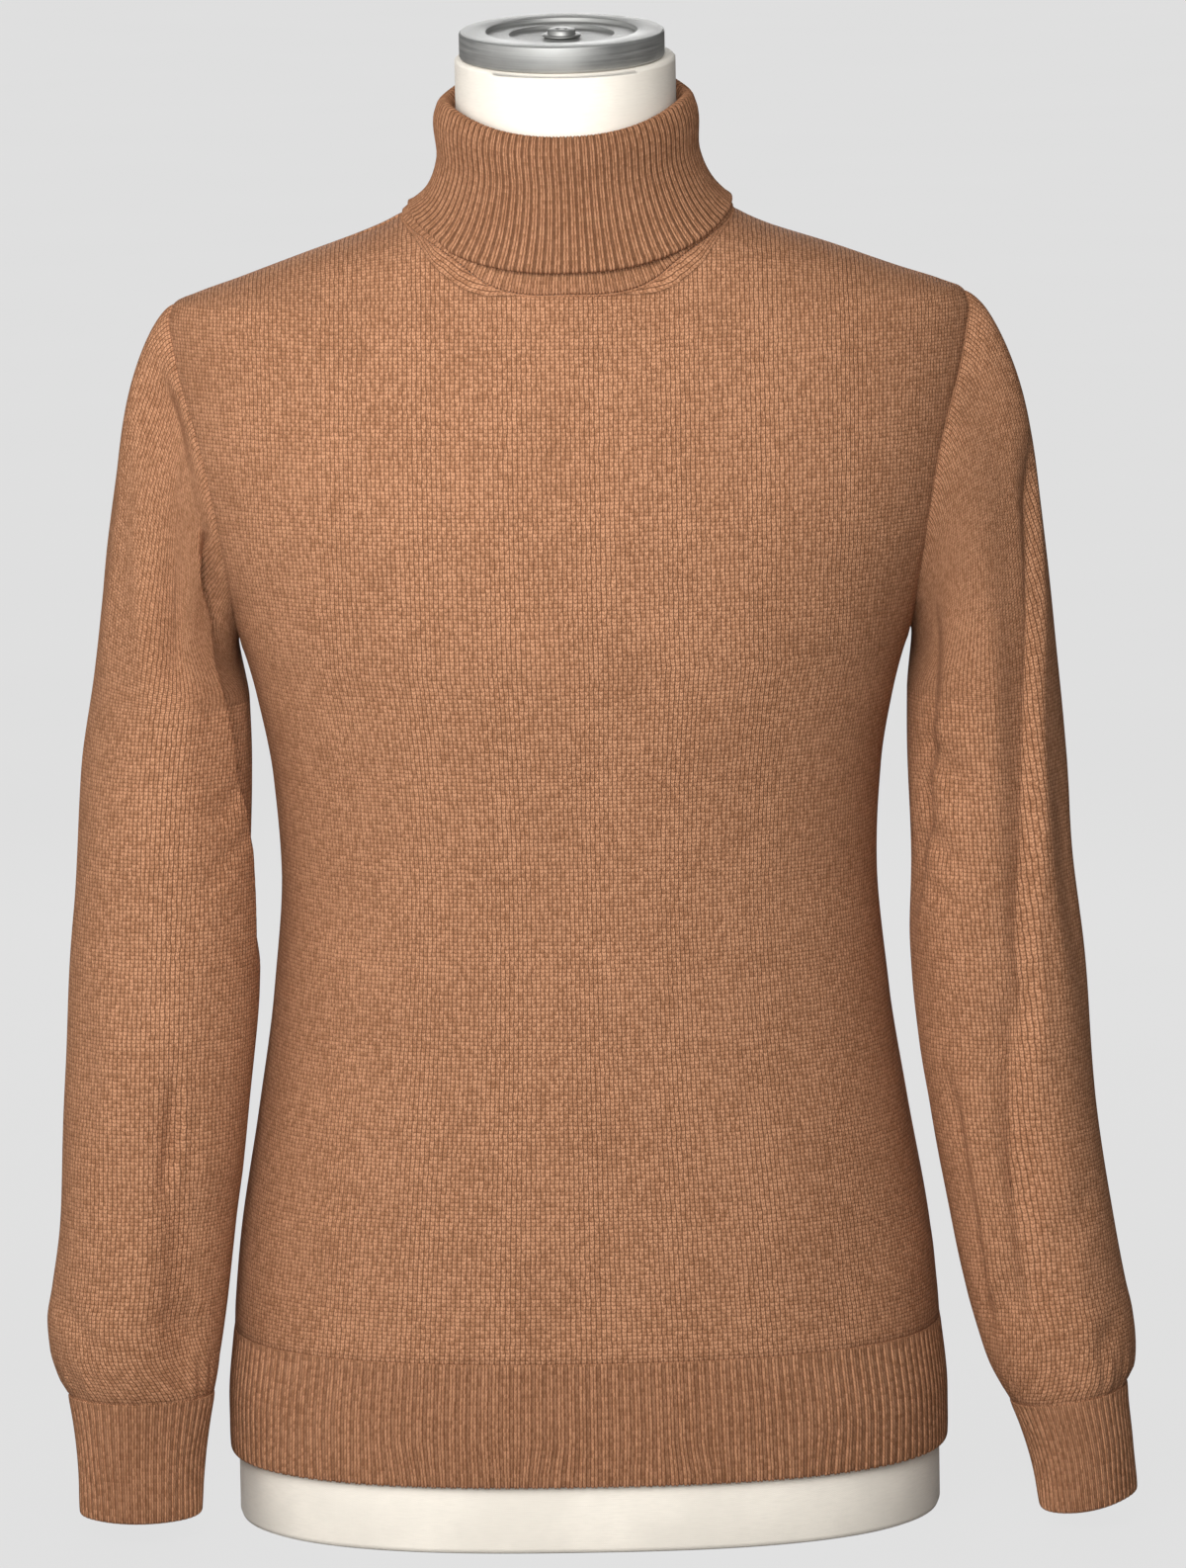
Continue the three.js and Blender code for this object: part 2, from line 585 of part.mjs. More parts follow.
// The form: the body's shape under the knit, then its neck, cut off along the cap's tilt.
function formGeometry() {
  const angles = ringAngles(FORM_COLUMNS);
  const ring = (row, heightAt) =>
    angles.map((angle) => {
      const p = oval(angle, row);
      return new THREE.Vector3(p.x, p.y, heightAt(p.y));
    });
  const underBody = (v) =>
    angles.map((angle) => {
      const away = new THREE.Vector3(0, 0, Math.min(v, 500));
      const normal = normalOf(bodySurface, angle, Math.min(v, SHOULDER_TIP + 0.98), away);
      if (v < SHOULDER_TIP) normal.setZ(0).normalize();
      return bodySurface(angle, v).addScaledVector(normal, -FORM_DEPTH);
    });
  const underStand = (row) =>
    angles.map((angle) => {
      const p = collarPoint(row, angle);
      const inward = 1 - STAND_AIR / Math.hypot(p.x, p.y);
      return new THREE.Vector3(p.x * inward, p.y * inward, p.z - STAND_AIR / 2);
    });
  const heights = BODY.map(({ z }) => z).filter((z) => z > WELT_EDGE && z <= SHOULDER_TIP);
  return solidOfRings([
    underBody(WELT_EDGE).map((p) => p.setZ(0)),
    ...heights.map(underBody),
    ...steps(SHOULDER_ROWS).slice(1).map((t) => underBody(SHOULDER_TIP + t)),
    underStand(COLLAR.length - 1),
    underStand(COLLAR.length - 2),
    ...FORM_NECK.map((row) => ring(row, () => row.z)),
    ring(NECK_TOP, (y) => CAP.z - SEAM_GAP + (y - CAP.y) * Math.tan(CAP.tilt)),
  ]);
}

function turned(profile) {
  const points = profile.map(({ r, z }) => new THREE.Vector2(r, z));
  return new THREE.LatheGeometry(points, LATHE_SEGMENTS).rotateX(Math.PI / 2);
}

function named(name, geometry, finish) {
  const mesh = new THREE.Mesh(geometry, new THREE.MeshStandardMaterial(finish));
  mesh.name = name;
  return mesh;
}

const sweater = new THREE.Group();
sweater.add(
  named("front_panel", panelGeometry("front"), JERSEY),
  named("back_panel", panelGeometry("back"), JERSEY),
  named("welt_front", weltGeometry("front"), RIB),
  named("welt_back", weltGeometry("back"), RIB),
  named("sleeve_left", sleeveGeometry(LEFT_SLEEVE, LEFT_TROUGHS, 1), JERSEY),
  named("sleeve_right", sleeveGeometry(RIGHT_SLEEVE, RIGHT_TROUGHS, -1), JERSEY),
  named("cuff_left", cuffGeometry(LEFT_SLEEVE, LEFT_TROUGHS, 1), RIB),
  named("cuff_right", cuffGeometry(RIGHT_SLEEVE, RIGHT_TROUGHS, -1), RIB),
  named("collar", collarGeometry(), RIB),
);

const cap = new THREE.Group();
cap.position.set(CAP.x, CAP.y, CAP.z);
cap.rotation.x = CAP.tilt;
const bolt = named("cap_bolt", turned(BOLT_PROFILE), STEEL);
bolt.position.z = CAP_PROFILE[CAP_PROFILE.length - 1].z + SEAM_GAP;
cap.add(named("neck_cap", turned(CAP_PROFILE), STEEL), bolt);

const group = new THREE.Group();
group.add(sweater, named("form_body", formGeometry(), CANVAS), cap);

export default group;
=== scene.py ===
# Rib-collared turtleneck sweater in camel wool, worn by a limbless dress form that stands on
# its flat underside. Tables are in millimetres and meshes in metres, +Z up. The chest faces
# -Y, and left and right are the wearer's: the left sleeve is on the +X side.

import math

import bmesh
import bpy
import numpy as np
from bpy.props import FloatProperty, FloatVectorProperty, PointerProperty
from mathutils import Matrix, Vector


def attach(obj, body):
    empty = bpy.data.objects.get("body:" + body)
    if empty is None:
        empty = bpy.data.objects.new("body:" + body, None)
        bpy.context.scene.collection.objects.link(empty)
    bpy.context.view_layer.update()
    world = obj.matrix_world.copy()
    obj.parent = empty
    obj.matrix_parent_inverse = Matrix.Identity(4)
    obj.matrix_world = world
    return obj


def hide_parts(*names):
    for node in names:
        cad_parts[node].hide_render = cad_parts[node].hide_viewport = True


bl_info = {
    "name": "Turtleneck sweater on a dress form",
    "version": (1, 0, 0),
    "blender": (4, 5, 0),
    "location": "3D View > Sidebar > Sweater",
    "description": "Knits a turtleneck sweater round a dress form",
    "category": "Object",
}

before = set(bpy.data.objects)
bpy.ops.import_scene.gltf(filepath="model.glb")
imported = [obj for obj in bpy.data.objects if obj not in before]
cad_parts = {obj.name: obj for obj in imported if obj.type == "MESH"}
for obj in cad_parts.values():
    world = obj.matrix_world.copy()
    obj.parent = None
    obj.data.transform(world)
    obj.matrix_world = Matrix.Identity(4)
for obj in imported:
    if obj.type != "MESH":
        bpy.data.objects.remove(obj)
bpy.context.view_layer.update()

MM = 0.001
TAU = 2 * math.pi

WALL = 2.0  # jersey thickness
RIB_WALL = 2.2  # rib thickness under the grooves
SEAM_GAP = 0.3  # space left between two sewn pieces
TUCK = 1.8  # how far jersey runs on under the rib that is knitted on to it
FORM_DEPTH = 3.9  # how far the form's surface lies under the knit's outer face

WELT_EDGE = 36
WELT_TOP = 100
UNDERARM = 462
SHOULDER_TIP = 637
SLEEVE_LOFT_END = 430

WELT_RIBS = 92
COLLAR_RIBS = 112
CUFF_RIBS = 48


class Table:
    """Columns of numbers against height, on smooth curves that never overshoot a row."""

    def __init__(self, names, rows):
        rows = np.array(sorted(rows), float)
        self.z = rows[:, 0]
        self.columns = {n: (rows[:, i], self.slopes(rows[:, i])) for i, n in enumerate(names, 1)}

    def slopes(self, values):
        step = np.diff(values) / np.diff(self.z)
        below, above = step[:-1], step[1:]
        turning = below * above <= 0
        total = np.where(turning, 1, below + above)
        inside = np.where(turning, 0, 2 * below * above / total)
        return np.concatenate([step[:1], inside, step[-1:]])

    def at(self, name, z):
        values, slopes = self.columns[name]
        z = np.clip(z, self.z[0], self.z[-1])
        i = np.clip(np.searchsorted(self.z, z, side="right") - 1, 0, len(self.z) - 2)
        span = self.z[i + 1] - self.z[i]
        t = (z - self.z[i]) / span
        return (
            (1 + 2 * t) * (1 - t) ** 2 * values[i]
            + t * (1 - t) ** 2 * span * slopes[i]
            + t * t * (3 - 2 * t) * values[i + 1]
            + t * t * (t - 1) * span * slopes[i + 1]
        )


# Outer face of the knit body: half the width, how deep it is in front of and behind the side
# seam, and how square the section is (2 is an ellipse).
BODY = Table(
    ("half_width", "front", "back", "square"),
    [
        (36, 188, 128, 121, 2.5),
        (60, 188.5, 128.5, 122, 2.5),
        (100, 185, 126.5, 121, 2.45),
        (147, 180.5, 123, 117, 2.4),
        (211, 170.5, 118, 108, 2.35),
        (274, 161, 114, 101, 2.3),
        (340, 155.5, 112.5, 98, 2.3),
        (390, 158, 115.5, 103, 2.3),
        (433, 165.5, 120, 111, 2.3),
        (478, 179, 123.5, 119, 2.3),
        (522, 194, 122.5, 123, 2.25),
        (566, 203, 115.5, 121, 2.15),
        (607, 208, 102.5, 112, 1.95),
        (626, 208.6, 93.5, 102, 1.85),
        (637, 204.5, 87, 94, 1.8),
        (643, 192, 83.5, 90, 1.8),
        (650, 171, 80, 86, 1.85),
        (662, 137.5, 76, 81, 1.95),
        (678, 92, 71, 76, 2),
        (690, 74, 68, 70, 2),
    ],
)

# The armhole seam, as a share of the body's half width.
ARMHOLE = Table(
    ("front", "back"),
    [
        (462, 1, 1),
        (474, 0.988, 0.99),
        (490, 0.967, 0.972),
        (507, 0.95, 0.958),
        (525, 0.938, 0.947),
        (550, 0.935, 0.943),
        (575, 0.947, 0.95),
        (600, 0.97, 0.968),
        (620, 0.985, 0.983),
        (631, 0.995, 0.994),
        (637, 1, 1),
    ],
)

NECK_SEAM = {"half_width": 86, "front": 81.8, "back": 77, "square": 2.5}

# The collar's middle line from the turned-down edge, over the fold and down to the neck seam:
# half width, front and back depth, then the height at the front, the sides and the back.
COLLAR = [
    (83, 84.2, 76.5, 657.5, 684.2, 686.5),
    (73.6, 79.5, 71.8, 674, 693.8, 703),
    (66.2, 73.5, 65, 698, 711, 725),
    (65.6, 72, 62.5, 720.5, 735.5, 752),
    (63.4, 69, 59.5, 724.5, 740.3, 756.5),
    (61, 66, 57, 720.5, 736.8, 753),
    (60.2, 65.4, 55.6, 708, 721, 738),
    (62, 67.5, 60, 690, 704.5, 713),
    (71, 77.5, 69.5, 667, 693.5, 697),
]
COLLAR_LEAN = (1, 1, 1, 0.8, 0.8, 0.6, 0.4, 0.2, 0)
COLLAR_SHIFTS = (1.2, 1.2, 0.8, -0.2, -0.2, 0, 0.2, 0, 0)
COLLAR_SQUARES = (2.5, 2.35, 2.1, 2, 2, 2, 2.05, 2.2, 2.4)
COLLAR_LIFT = 1.2
COLLAR_REST = 1.4  # how far the turned-down edge's middle line stands over the shoulders

STAND_AIR = 4
FORM_NECK = [(715, 57, 61.5, 53), (735, 57, 62, 52), (752, 57, 62.5, 51.5)]
NECK_TOP = (57, 62.5, 51)
CAP_PLACE = (-1.5, -6, 762)
CAP_TILT = math.radians(5.3)

DEGREE_RUN = 0.8  # millimetres round a sleeve in one degree
LEFT_CLOSE = (15, 100)  # degrees round the left sleeve where the columns of points stand closer
RIGHT_CLOSE = (60, 172)
SLEEVE_COLUMNS = ("outer", "inner", "y", "depth", "rise")
RIGHT_SLEEVE = Table(
    SLEEVE_COLUMNS,
    [
        (430, 252.7, 168.4, -6, 53, 0),
        (403, 256.5, 167.2, -9, 53, 0),
        (344, 262.2, 165.5, -17, 52, 0),
        (283, 266.7, 167.2, -26, 50, 0),
        (222, 271.2, 173.8, -35, 47, 0),
        (161, 274.7, 181, -44, 44, 0),
        (130, 277.9, 185.3, -48.5, 43, 0),
        (113, 280.3, 187.7, -51, 42, 0),
        (98, 279.2, 190.1, -53, 40, 0),
        (84, 274.2, 192.8, -55, 36, 0),
        (75, 270.7, 194.5, -56, 33.5, 0),
        (40, 266.6, 200.3, -59, 31, 0),
        (9, 264.6, 202.3, -61, 31, 0),
    ],
)
LEFT_SLEEVE = Table(
    SLEEVE_COLUMNS,
    [
        (430, 251.7, 171.8, -6, 53, 0),
        (397, 253.5, 171.2, -9, 53, 0),
        (335, 258.2, 170.5, -17, 53, 0),
        (274, 263.7, 172.7, -26, 51, 0.01),
        (213, 268.3, 180.3, -35, 48, 0.03),
        (151, 276.8, 191, -44, 46, 0.06),
        (120, 280.5, 198.2, -48.5, 44, 0.08),
        (104, 283.4, 203.1, -51, 42.5, 0.1),
        (89, 284.8, 208, -53, 40.5, 0.12),
        (76, 283.2, 214.9, -55, 38.5, 0.14),
        (68, 280.7, 219.3, -56, 37, 0.15),
        (36, 283.1, 230.1, -59, 35.5, 0.16),
        (8.5, 284, 234.5, -61.5, 35.5, 0.17),
    ],
)
RIGHT_CUFF = (75, 12)
LEFT_CUFF = (68, 11.5)

# Long troughs pressed into a sleeve: the angle round the section (0 is the outer side and 90
# the front) where each starts, how far it turns on the way down, where it starts and ends,
# its half width in degrees and how deep it is.
RIGHT_TROUGHS = [
    (47, 4, 640, 430, 26, 3),
    (128, -6, 560, 330, 24, 2),
    (100, 20, 240, 80, 24, 5),
    (250, -8, 520, 260, 28, 6),
    (300, 10, 330, 90, 26, 6),
]
LEFT_TROUGHS = [
    (62, 5, 610, 190, 22, 2.5),
    (118, 0, 590, 420, 22, 2),
    (82, 10, 250, 60, 28, 6),
    (145, 20, 410, 320, 24, 5),
    (255, 8, 540, 280, 28, 6),
    (305, -10, 340, 90, 26, 6),
]

# Smaller creases. On a sleeve, the angle and height where each starts and ends; on a
# panel, the distance from the middle and the height. Then the half width of the crease, how
# far its middle bows aside, and its depth, which is negative for a ridge.
RIGHT_CREASES = [
    (150, 402, 118, 372, 7, 5, 2.2),
    (158, 366, 112, 332, 6, -6, 1.8),
    (30, 300, 42, 205, 10, 4, 1.4),
    (75, 215, 88, 150, 9, -5, 1.6),
    (20, 128, 70, 96, 7, 4, 1.5),
    (100, 122, 150, 100, 8, 5, 2.0),
    (99, 250, 101, 176, 4, 2, 3.6),
    (60, 596, 84, 560, 9, 3, 1.2),
    (215, 420, 250, 380, 8, 6, 2.2),
    (205, 372, 262, 330, 7, -5, 2.4),
    (222, 318, 246, 262, 8, 5, 1.6),
    (300, 250, 285, 160, 10, -6, 1.8),
    (250, 140, 305, 104, 8, 6, 2.0),
    (325, 560, 312, 470, 12, 5, 1.6),
    (345, 420, 338, 330, 11, -4, 1.2),
]
LEFT_CREASES = [
    (152, 408, 104, 372, 8, -7, 3.0),
    (160, 384, 96, 338, 7, 6, 2.6),
    (148, 350, 110, 322, 6, 4, 1.8),
    (25, 420, 20, 250, 9, 5, 1.8),
    (40, 180, 78, 128, 9, 6, 1.8),
    (110, 140, 150, 104, 8, -5, 2.2),
    (30, 110, 66, 84, 7, 4, 1.6),
    (50, 600, 76, 566, 10, 3, 1.4),
    (208, 428, 248, 392, 8, 5, 2.4),
    (200, 382, 258, 344, 7, -6, 2.2),
    (228, 330, 240, 270, 9, 5, 1.6),
    (292, 260, 300, 170, 10, 6, 2.0),
    (246, 136, 300, 98, 8, -5, 2.0),
    (322, 570, 306, 486, 12, -5, 1.6),
    (340, 400, 348, 300, 11, 5, 1.4),
]

# Long folds: the line of each, as heights and angles round the sleeve, how far the
# cloth slopes down to it from one side, how wide the wall on its other side is, how deep the
# fold goes, how proud its lip stands and how far the lip lies over the hollow.
RIGHT_FOLDS = [
    ([(425, 90), (473, 79), (512, 67), (557, 58), (591, 44), (622, 34)], 24, 24, 10, 0.6, 0),
    (
        [(290, 168), (313, 167), (353, 162), (401, 147), (431, 140), (453, 134), (475, 131),
         (491, 120), (513, 105), (545, 95)],
        15, 6, 15, 0.8, 0.5,
    ),
    ([(72, 122), (116, 118), (141, 116), (167, 112), (200, 106)], 24, 22, 6, 0.4, 0),
    ([(90, 250), (190, 243), (280, 252), (360, 247), (470, 238)], 16, 5, 7.5, 0.8, 2.0),
    ([(130, 322), (230, 314), (330, 326), (420, 318)], 14, 9, 5.0, 0.5, 0),
]
LEFT_FOLDS = [
    (
        [(225, 73), (282, 68), (303, 68), (344, 60), (396, 52), (446, 45), (485, 37), (528, 25),
         (570, 10)],
        20, 13, 6, 0.6, 0,
    ),
    ([(85, 97), (164, 91), (210, 84), (247, 80), (290, 78)], 22, 18, 8.0, 0.5, 0),
    ([(86, 148), (128, 142), (154, 140), (200, 136), (250, 132)], 14, 12, 6.0, 0.6, 0),
    ([(300, 160), (360, 148), (430, 132), (500, 120)], 14, 14, 5.0, 0.5, 0),
    ([(80, 246), (170, 256), (290, 249), (390, 240), (500, 247)], 16, 5, 8.0, 0.8, 2.0),
    ([(110, 318), (220, 327), (300, 316), (380, 324)], 14, 9, 5.0, 0.5, 0),
]
FRONT_CREASES = [
    (-168, 470, -112, 520, 13, 8, 0.9),
    (-166, 446, -120, 462, 10, -5, 0.7),
    (170, 472, 118, 512, 12, -8, 0.9),
    (164, 440, 126, 470, 9, 6, 0.8),
    (-152, 330, -96, 310, 16, 6, 0.6),
    (150, 344, 92, 330, 15, -6, 0.6),
    (-170, 150, -122, 128, 13, 5, 0.7),
    (172, 160, 128, 126, 14, -6, 0.8),
    (-40, 636, -74, 600, 11, 5, 0.6),
    (44, 636, 80, 604, 11, -5, 0.6),
]
BACK_CREASES = [
    (-168, 474, -92, 530, 14, 9, 1.6),
    (-160, 440, -104, 470, 11, -6, 1.2),
    (168, 468, 98, 524, 13, -9, 1.6),
    (162, 436, 110, 452, 10, 6, 1.1),
    (-140, 352, -30, 334, 17, 9, 1.7),
    (130, 330, 16, 318, 16, -8, 1.6),
    (-110, 300, 36, 286, 15, 7, 1.5),
    (150, 282, 60, 262, 14, 6, 1.2),
    (-158, 210, -84, 178, 15, 6, 1.3),
    (164, 190, 96, 152, 15, -7, 1.4),
    (-60, 128, 30, 118, 12, 5, 1.1),
    (-70, 624, -118, 572, 13, 6, 0.9),
    (76, 622, 122, 566, 13, -6, 0.9),
]


def lerp(a, b, t):
    return a + (b - a) * t


def ease(t):
    t = np.clip(t, 0, 1)
    return t * t * (3 - 2 * t)


def unit(v):
    return v / np.maximum(np.linalg.norm(v, axis=-1, keepdims=True), 1e-9)


def stack(x, y, z):
    return np.stack(np.broadcast_arrays(x, y, z), axis=-1).astype(float)


def oval(angle, half_width, front, back, square=2.0):
    """Squared oval. Angle 0 is the front middle and a quarter turn the +X side."""
    s, c = np.sin(angle), np.cos(angle)
    reach = (np.abs(s) ** square + np.abs(c) ** square) ** (1 / square)
    return half_width * s / reach, -np.where(c > 0, front, back) * c / reach


def section(z):
    return {name: BODY.at(name, z) for name in ("half_width", "front", "back", "square")}


def body_point(angle, z):
    x, y = oval(angle, **section(z))
    return stack(x, y, z)


def shoulder_height(x, y):
    """Height of the body's shoulders over points of the plan."""
    low = np.full(np.shape(x), 626.0)
    high = np.full(np.shape(x), BODY.z[-1])
    for _ in range(24):
        z = (low + high) / 2
        at = section(z)
        depth = np.where(y < 0, at["front"], at["back"])
        inside = (
            np.abs(x / at["half_width"]) ** at["square"] + np.abs(y / depth) ** at["square"] < 1
        )
        low = np.where(inside, z, low)
        high = np.where(inside, high, z)
    return low


def neck_seam(angle):
    x, y = oval(angle, **NECK_SEAM)
    return stack(x, y, shoulder_height(x, y))


def panel_reach(side, z):
    """Half the angle that a panel covers at height z."""
    square = BODY.at("square", z)
    share = np.clip(ARMHOLE.at(side, z), 0, 1 - 1e-9) ** square
    reach = np.arctan((share / (1 - share)) ** (1 / square))
    return np.where((z <= UNDERARM) | (z >= SHOULDER_TIP), math.pi / 2, reach)


def armhole_height(angle):
    return lerp(UNDERARM, SHOULDER_TIP, (1 + np.cos(angle)) / 2)


def armhole_point(angle):
    z = armhole_height(angle)
    front = body_point(panel_reach("front", z), z)
    back = body_point(math.pi - panel_reach("back", z), z)
    return np.where((np.sin(angle) > 0)[..., None], front, back)


def body_surface(angle, v):
    """Outer face of the body. Past the shoulder tip's height, v counts the way in to the neck."""
    low = body_point(angle, np.minimum(v, SHOULDER_TIP))
    share = np.clip(v - SHOULDER_TIP, 0, 1)[..., None]
    plan = low + (neck_seam(angle) - low) * share
    height = shoulder_height(plan[..., 0], plan[..., 1])
    plan[..., 2] = np.where(v > SHOULDER_TIP, height, low[..., 2])
    return plan


def sleeve_level(table, angle, z):
    outer, inner = table.at("outer", z), table.at("inner", z)
    x = (outer - inner) / 2 * np.cos(angle)
    y = table.at("y", z) - table.at("depth", z) * np.sin(angle)
    return stack((outer + inner) / 2 + x, y, z + table.at("rise", z) * x)


def sleeve_loft(table, angle, v):
    start = armhole_point(angle)
    start[..., 0] += SEAM_GAP
    end = sleeve_level(table, angle, np.full(np.shape(angle), float(SLEEVE_LOFT_END)))
    below = sleeve_level(table, angle, np.full(np.shape(angle), SLEEVE_LOFT_END - 1.0))
    drop = (start[..., 2] - SLEEVE_LOFT_END)[..., None]
    over = lerp(8, 80, (1 + np.cos(angle)) / 2)
    leave = stack(over, 6 * np.sin(angle), -0.42 * over)
    v = v[..., None]
    return (
        start * (1 + 2 * v) * (1 - v) ** 2
        + leave * v * (1 - v) ** 2
        + end * v * v * (3 - 2 * v)
        + (below - end) * drop * v * v * (v - 1)
    )


def sleeve_surface(table, troughs, angle, v):
    """Outer face of a sleeve on the +X side. v is 0 at the armhole and 1 at the loft's end,
    and past that it is 1 plus the drop."""
    low = sleeve_level(table, angle, SLEEVE_LOFT_END - np.maximum(v - 1, 0))
    high = sleeve_loft(table, angle, np.minimum(v, 1))
    p = np.where((v <= 1)[..., None], high, low)
    height = np.minimum(p[..., 2], SLEEVE_LOFT_END)
    middle = (table.at("outer", height) + table.at("inner", height)) / 2
    inward = unit(stack(middle - p[..., 0], table.at("y", height) - p[..., 1], 0))
    for start, turn, top, bottom, half_width, depth in troughs:
        t = np.clip((top - p[..., 2]) / (top - bottom), 0, 1)
        off = (np.degrees(angle) - start - turn * t + 540) % 360 - 180
        across = np.clip(np.abs(off) / half_width, 0, 1)
        fade = np.sin(math.pi * t) ** 0.7 * ease(v / 0.35)
        p = p + inward * (depth * fade * np.cos(across * math.pi / 2) ** 2)[..., None]
    return p


def tangents(grid, closed):
    """Directions along the rows and the columns of a grid of points."""
    down = np.gradient(grid, axis=0)
    if closed:
        ring = np.concatenate([grid[:, -2:-1], grid, grid[:, 1:2]], axis=1)
        across = (ring[:, 2:] - ring[:, :-2]) / 2
    else:
        across = np.gradient(grid, axis=1)
    return down, across


def normals(grid, closed, out_at=(0, 0)):
    """Unit normals of a grid, on the side that faces away from a point of the plan."""
    down, across = tangents(grid, closed)
    normal = unit(np.cross(across, down))
    i, j = grid.shape[0] // 2, grid.shape[1] // 4
    away = grid[i, j, :2] - np.array(out_at, float)
    return normal if normal[i, j, :2] @ away > 0 else -normal


def lengths(grid, axis):
    """Distance along each row (axis 1) or column (axis 0) from its start."""
    step = np.linalg.norm(np.diff(grid, axis=axis), axis=-1)
    start = np.zeros_like(step.take([0], axis=axis))
    return np.concatenate([start, np.cumsum(step, axis=axis)], axis=axis)


def edged(total, pitch, edge=(0.3, 0.8, 1.6, 2.8)):
    """Distances from 0 to a total, closer together at both ends."""
    count = max(int(round((total - 2 * edge[-1]) / pitch)), 1)
    middle = np.linspace(edge[-1], total - edge[-1], count + 1)
    return np.concatenate([[0], edge[:-1], middle, [total - e for e in edge[-2::-1]], [total]])


def rounded(distance, radius):
    """Share of the full thickness at a distance from a rounded edge."""
    t = np.clip(distance / radius, 0, 1)
    return 0.12 + 0.88 * np.sqrt(np.clip(1 - (1 - t) ** 2, 0, 1))


def tucked(distance, depth=1.1):
    """How far an edge drops under the piece that it runs on into, past distance 0."""
    return depth * ease((0.5 - distance) / 0.9)


def valley(distance, width):
    return np.exp(-((distance / width) ** 2))


def creases(x, y, marks, wrap=None):
    """Height of the listed creases at points of a flat map in millimetres."""
    total = np.zeros(np.shape(x))
    for x0, y0, x1, y1, half_width, bow, depth in marks:
        along = np.array([x1 - x0, y1 - y0], float)
        length = np.hypot(*along)
        along /= length
        dx = x - x0
        if wrap:
            dx = (dx + wrap / 2) % wrap - wrap / 2
        dy = y - y0
        t = (dx * along[0] + dy * along[1]) / length
        q = -dx * along[1] + dy * along[0] - bow * np.sin(math.pi * np.clip(t, 0, 1))
        taper = np.sin(math.pi * np.clip(t * 0.92 + 0.04, 0, 1)) ** 0.9
        taper = taper * ease((t + 0.12) / 0.2) * ease((1.12 - t) / 0.35)
        q = q / half_width
        profile = -np.exp(-(q**2)) + 0.5 * np.exp(-(((q - 1.75) / 0.75) ** 2))
        total += depth * taper * profile
    return total


def folds(degrees, z, marks):
    """Height of long folds, and how far they carry the cloth round the sleeve. Each sinks
    slowly from one side and turns up sharply, with a lip that may lie over the hollow."""
    height, shift = np.zeros(np.shape(z)), np.zeros(np.shape(z))
    for line, slope, wall_width, depth, lip, over in marks:
        heights, angles = zip(*line)
        off = np.interp(z, heights, angles) - degrees
        q = ((off + 180) % 360 - 180) * DEGREE_RUN
        side = ease(q / wall_width + 0.5)
        past = np.minimum(q + wall_width / 2, 0)
        proud = np.exp(-np.maximum(q - wall_width / 2, 0) / 10) * side
        fade = ease((z - heights[0]) / 45) * ease((heights[-1] - z) / 40)
        height += fade * (lip * proud - depth * np.exp(past / slope) * (1 - side))
        shift += fade * over * (proud - np.exp(past / 8) * (1 - side))
    return height, shift


def waves(x, y, marks):
    """Broad soft undulation: each mark is a wavelength across, along, a phase and a height."""
    total = np.zeros(np.shape(x))
    for across, along, phase, height in marks:
        total += height * np.sin(TAU * (x / across + y / along) + phase)
    return total


# Places across one rib where a column of points stands, on closed ribs and on stretched ones.
CLOSED_RIB = np.array([0, 0.13, 0.3, 0.5, 0.7, 0.87])
OPEN_RIB = np.array([0, 1 / 6, 0.25, 1 / 3, 0.5, 2 / 3, 0.75, 5 / 6])


def rib_height(phase, opened):
    """Section of a two-by-one rib, from 0 in the groove to 1 on the two knit wales. Where the
    rib is stretched open, the purl wale shows in the groove."""
    phase = phase % 1
    side = np.minimum(phase, 1 - phase)
    closed = (1 - np.exp(-((side / 0.13) ** 2))) * (1 - 0.7 * valley(phase - 0.5, 0.08))
    wales = 0.5 - 0.5 * np.cos(TAU * 3 * (phase - 1 / 6))
    stretched = wales * (1 - 0.42 * valley(side, 0.12)) + 0.25 * valley(phase - 0.5, 0.09)
    return lerp(closed, stretched, opened)


def rib_stitch(phase, opened):
    """Position in wales, three to a rib, of which the first half and the last are the groove."""
    whole = np.floor(phase)
    part = phase - whole
    closed = np.interp(part, [0, 0.13, 0.5, 0.87, 1], [0, 0.5, 1.5, 2.5, 3])
    return 3 * whole + lerp(closed, 3 * part, opened)


def rib_columns(ribs, phases=OPEN_RIB):
    return np.concatenate([(np.arange(ribs)[:, None] + phases).ravel(), [ribs]])


def make_mesh(name, vertices, faces, maps, corners, material):
    """Mesh of four-sided faces. maps are values for each corner of the grid that corners
    points into, one UV map each."""
    a, b, c = (vertices[faces[:, k]] for k in (0, 1, 2))
    d = vertices[faces[:, 3]]
    volume = (np.cross(a, b) * c).sum() + (np.cross(a, c) * d).sum()
    if volume < 0:
        faces, corners = faces[:, ::-1], corners[:, ::-1]
    mesh = bpy.data.meshes.new(name)
    mesh.vertices.add(len(vertices))
    mesh.vertices.foreach_set("co", (vertices * MM).ravel())
    mesh.loops.add(faces.size)
    mesh.loops.foreach_set("vertex_index", np.ascontiguousarray(faces).ravel())
    mesh.polygons.add(len(faces))
    mesh.polygons.foreach_set("loop_start", np.arange(0, faces.size, 4))
    mesh.polygons.foreach_set("use_smooth", np.ones(len(faces), bool))
    for map_name, values in maps.items():
        layer = mesh.uv_layers.new(name=map_name)
        layer.data.foreach_set("uv", values[corners.ravel()].astype(np.float32).ravel())
    mesh.update(calc_edges=True)
    mesh.validate()
    mesh.materials.append(material)
    piece = bpy.data.objects.new(name, mesh)
    bpy.context.scene.collection.objects.link(piece)
    return piece


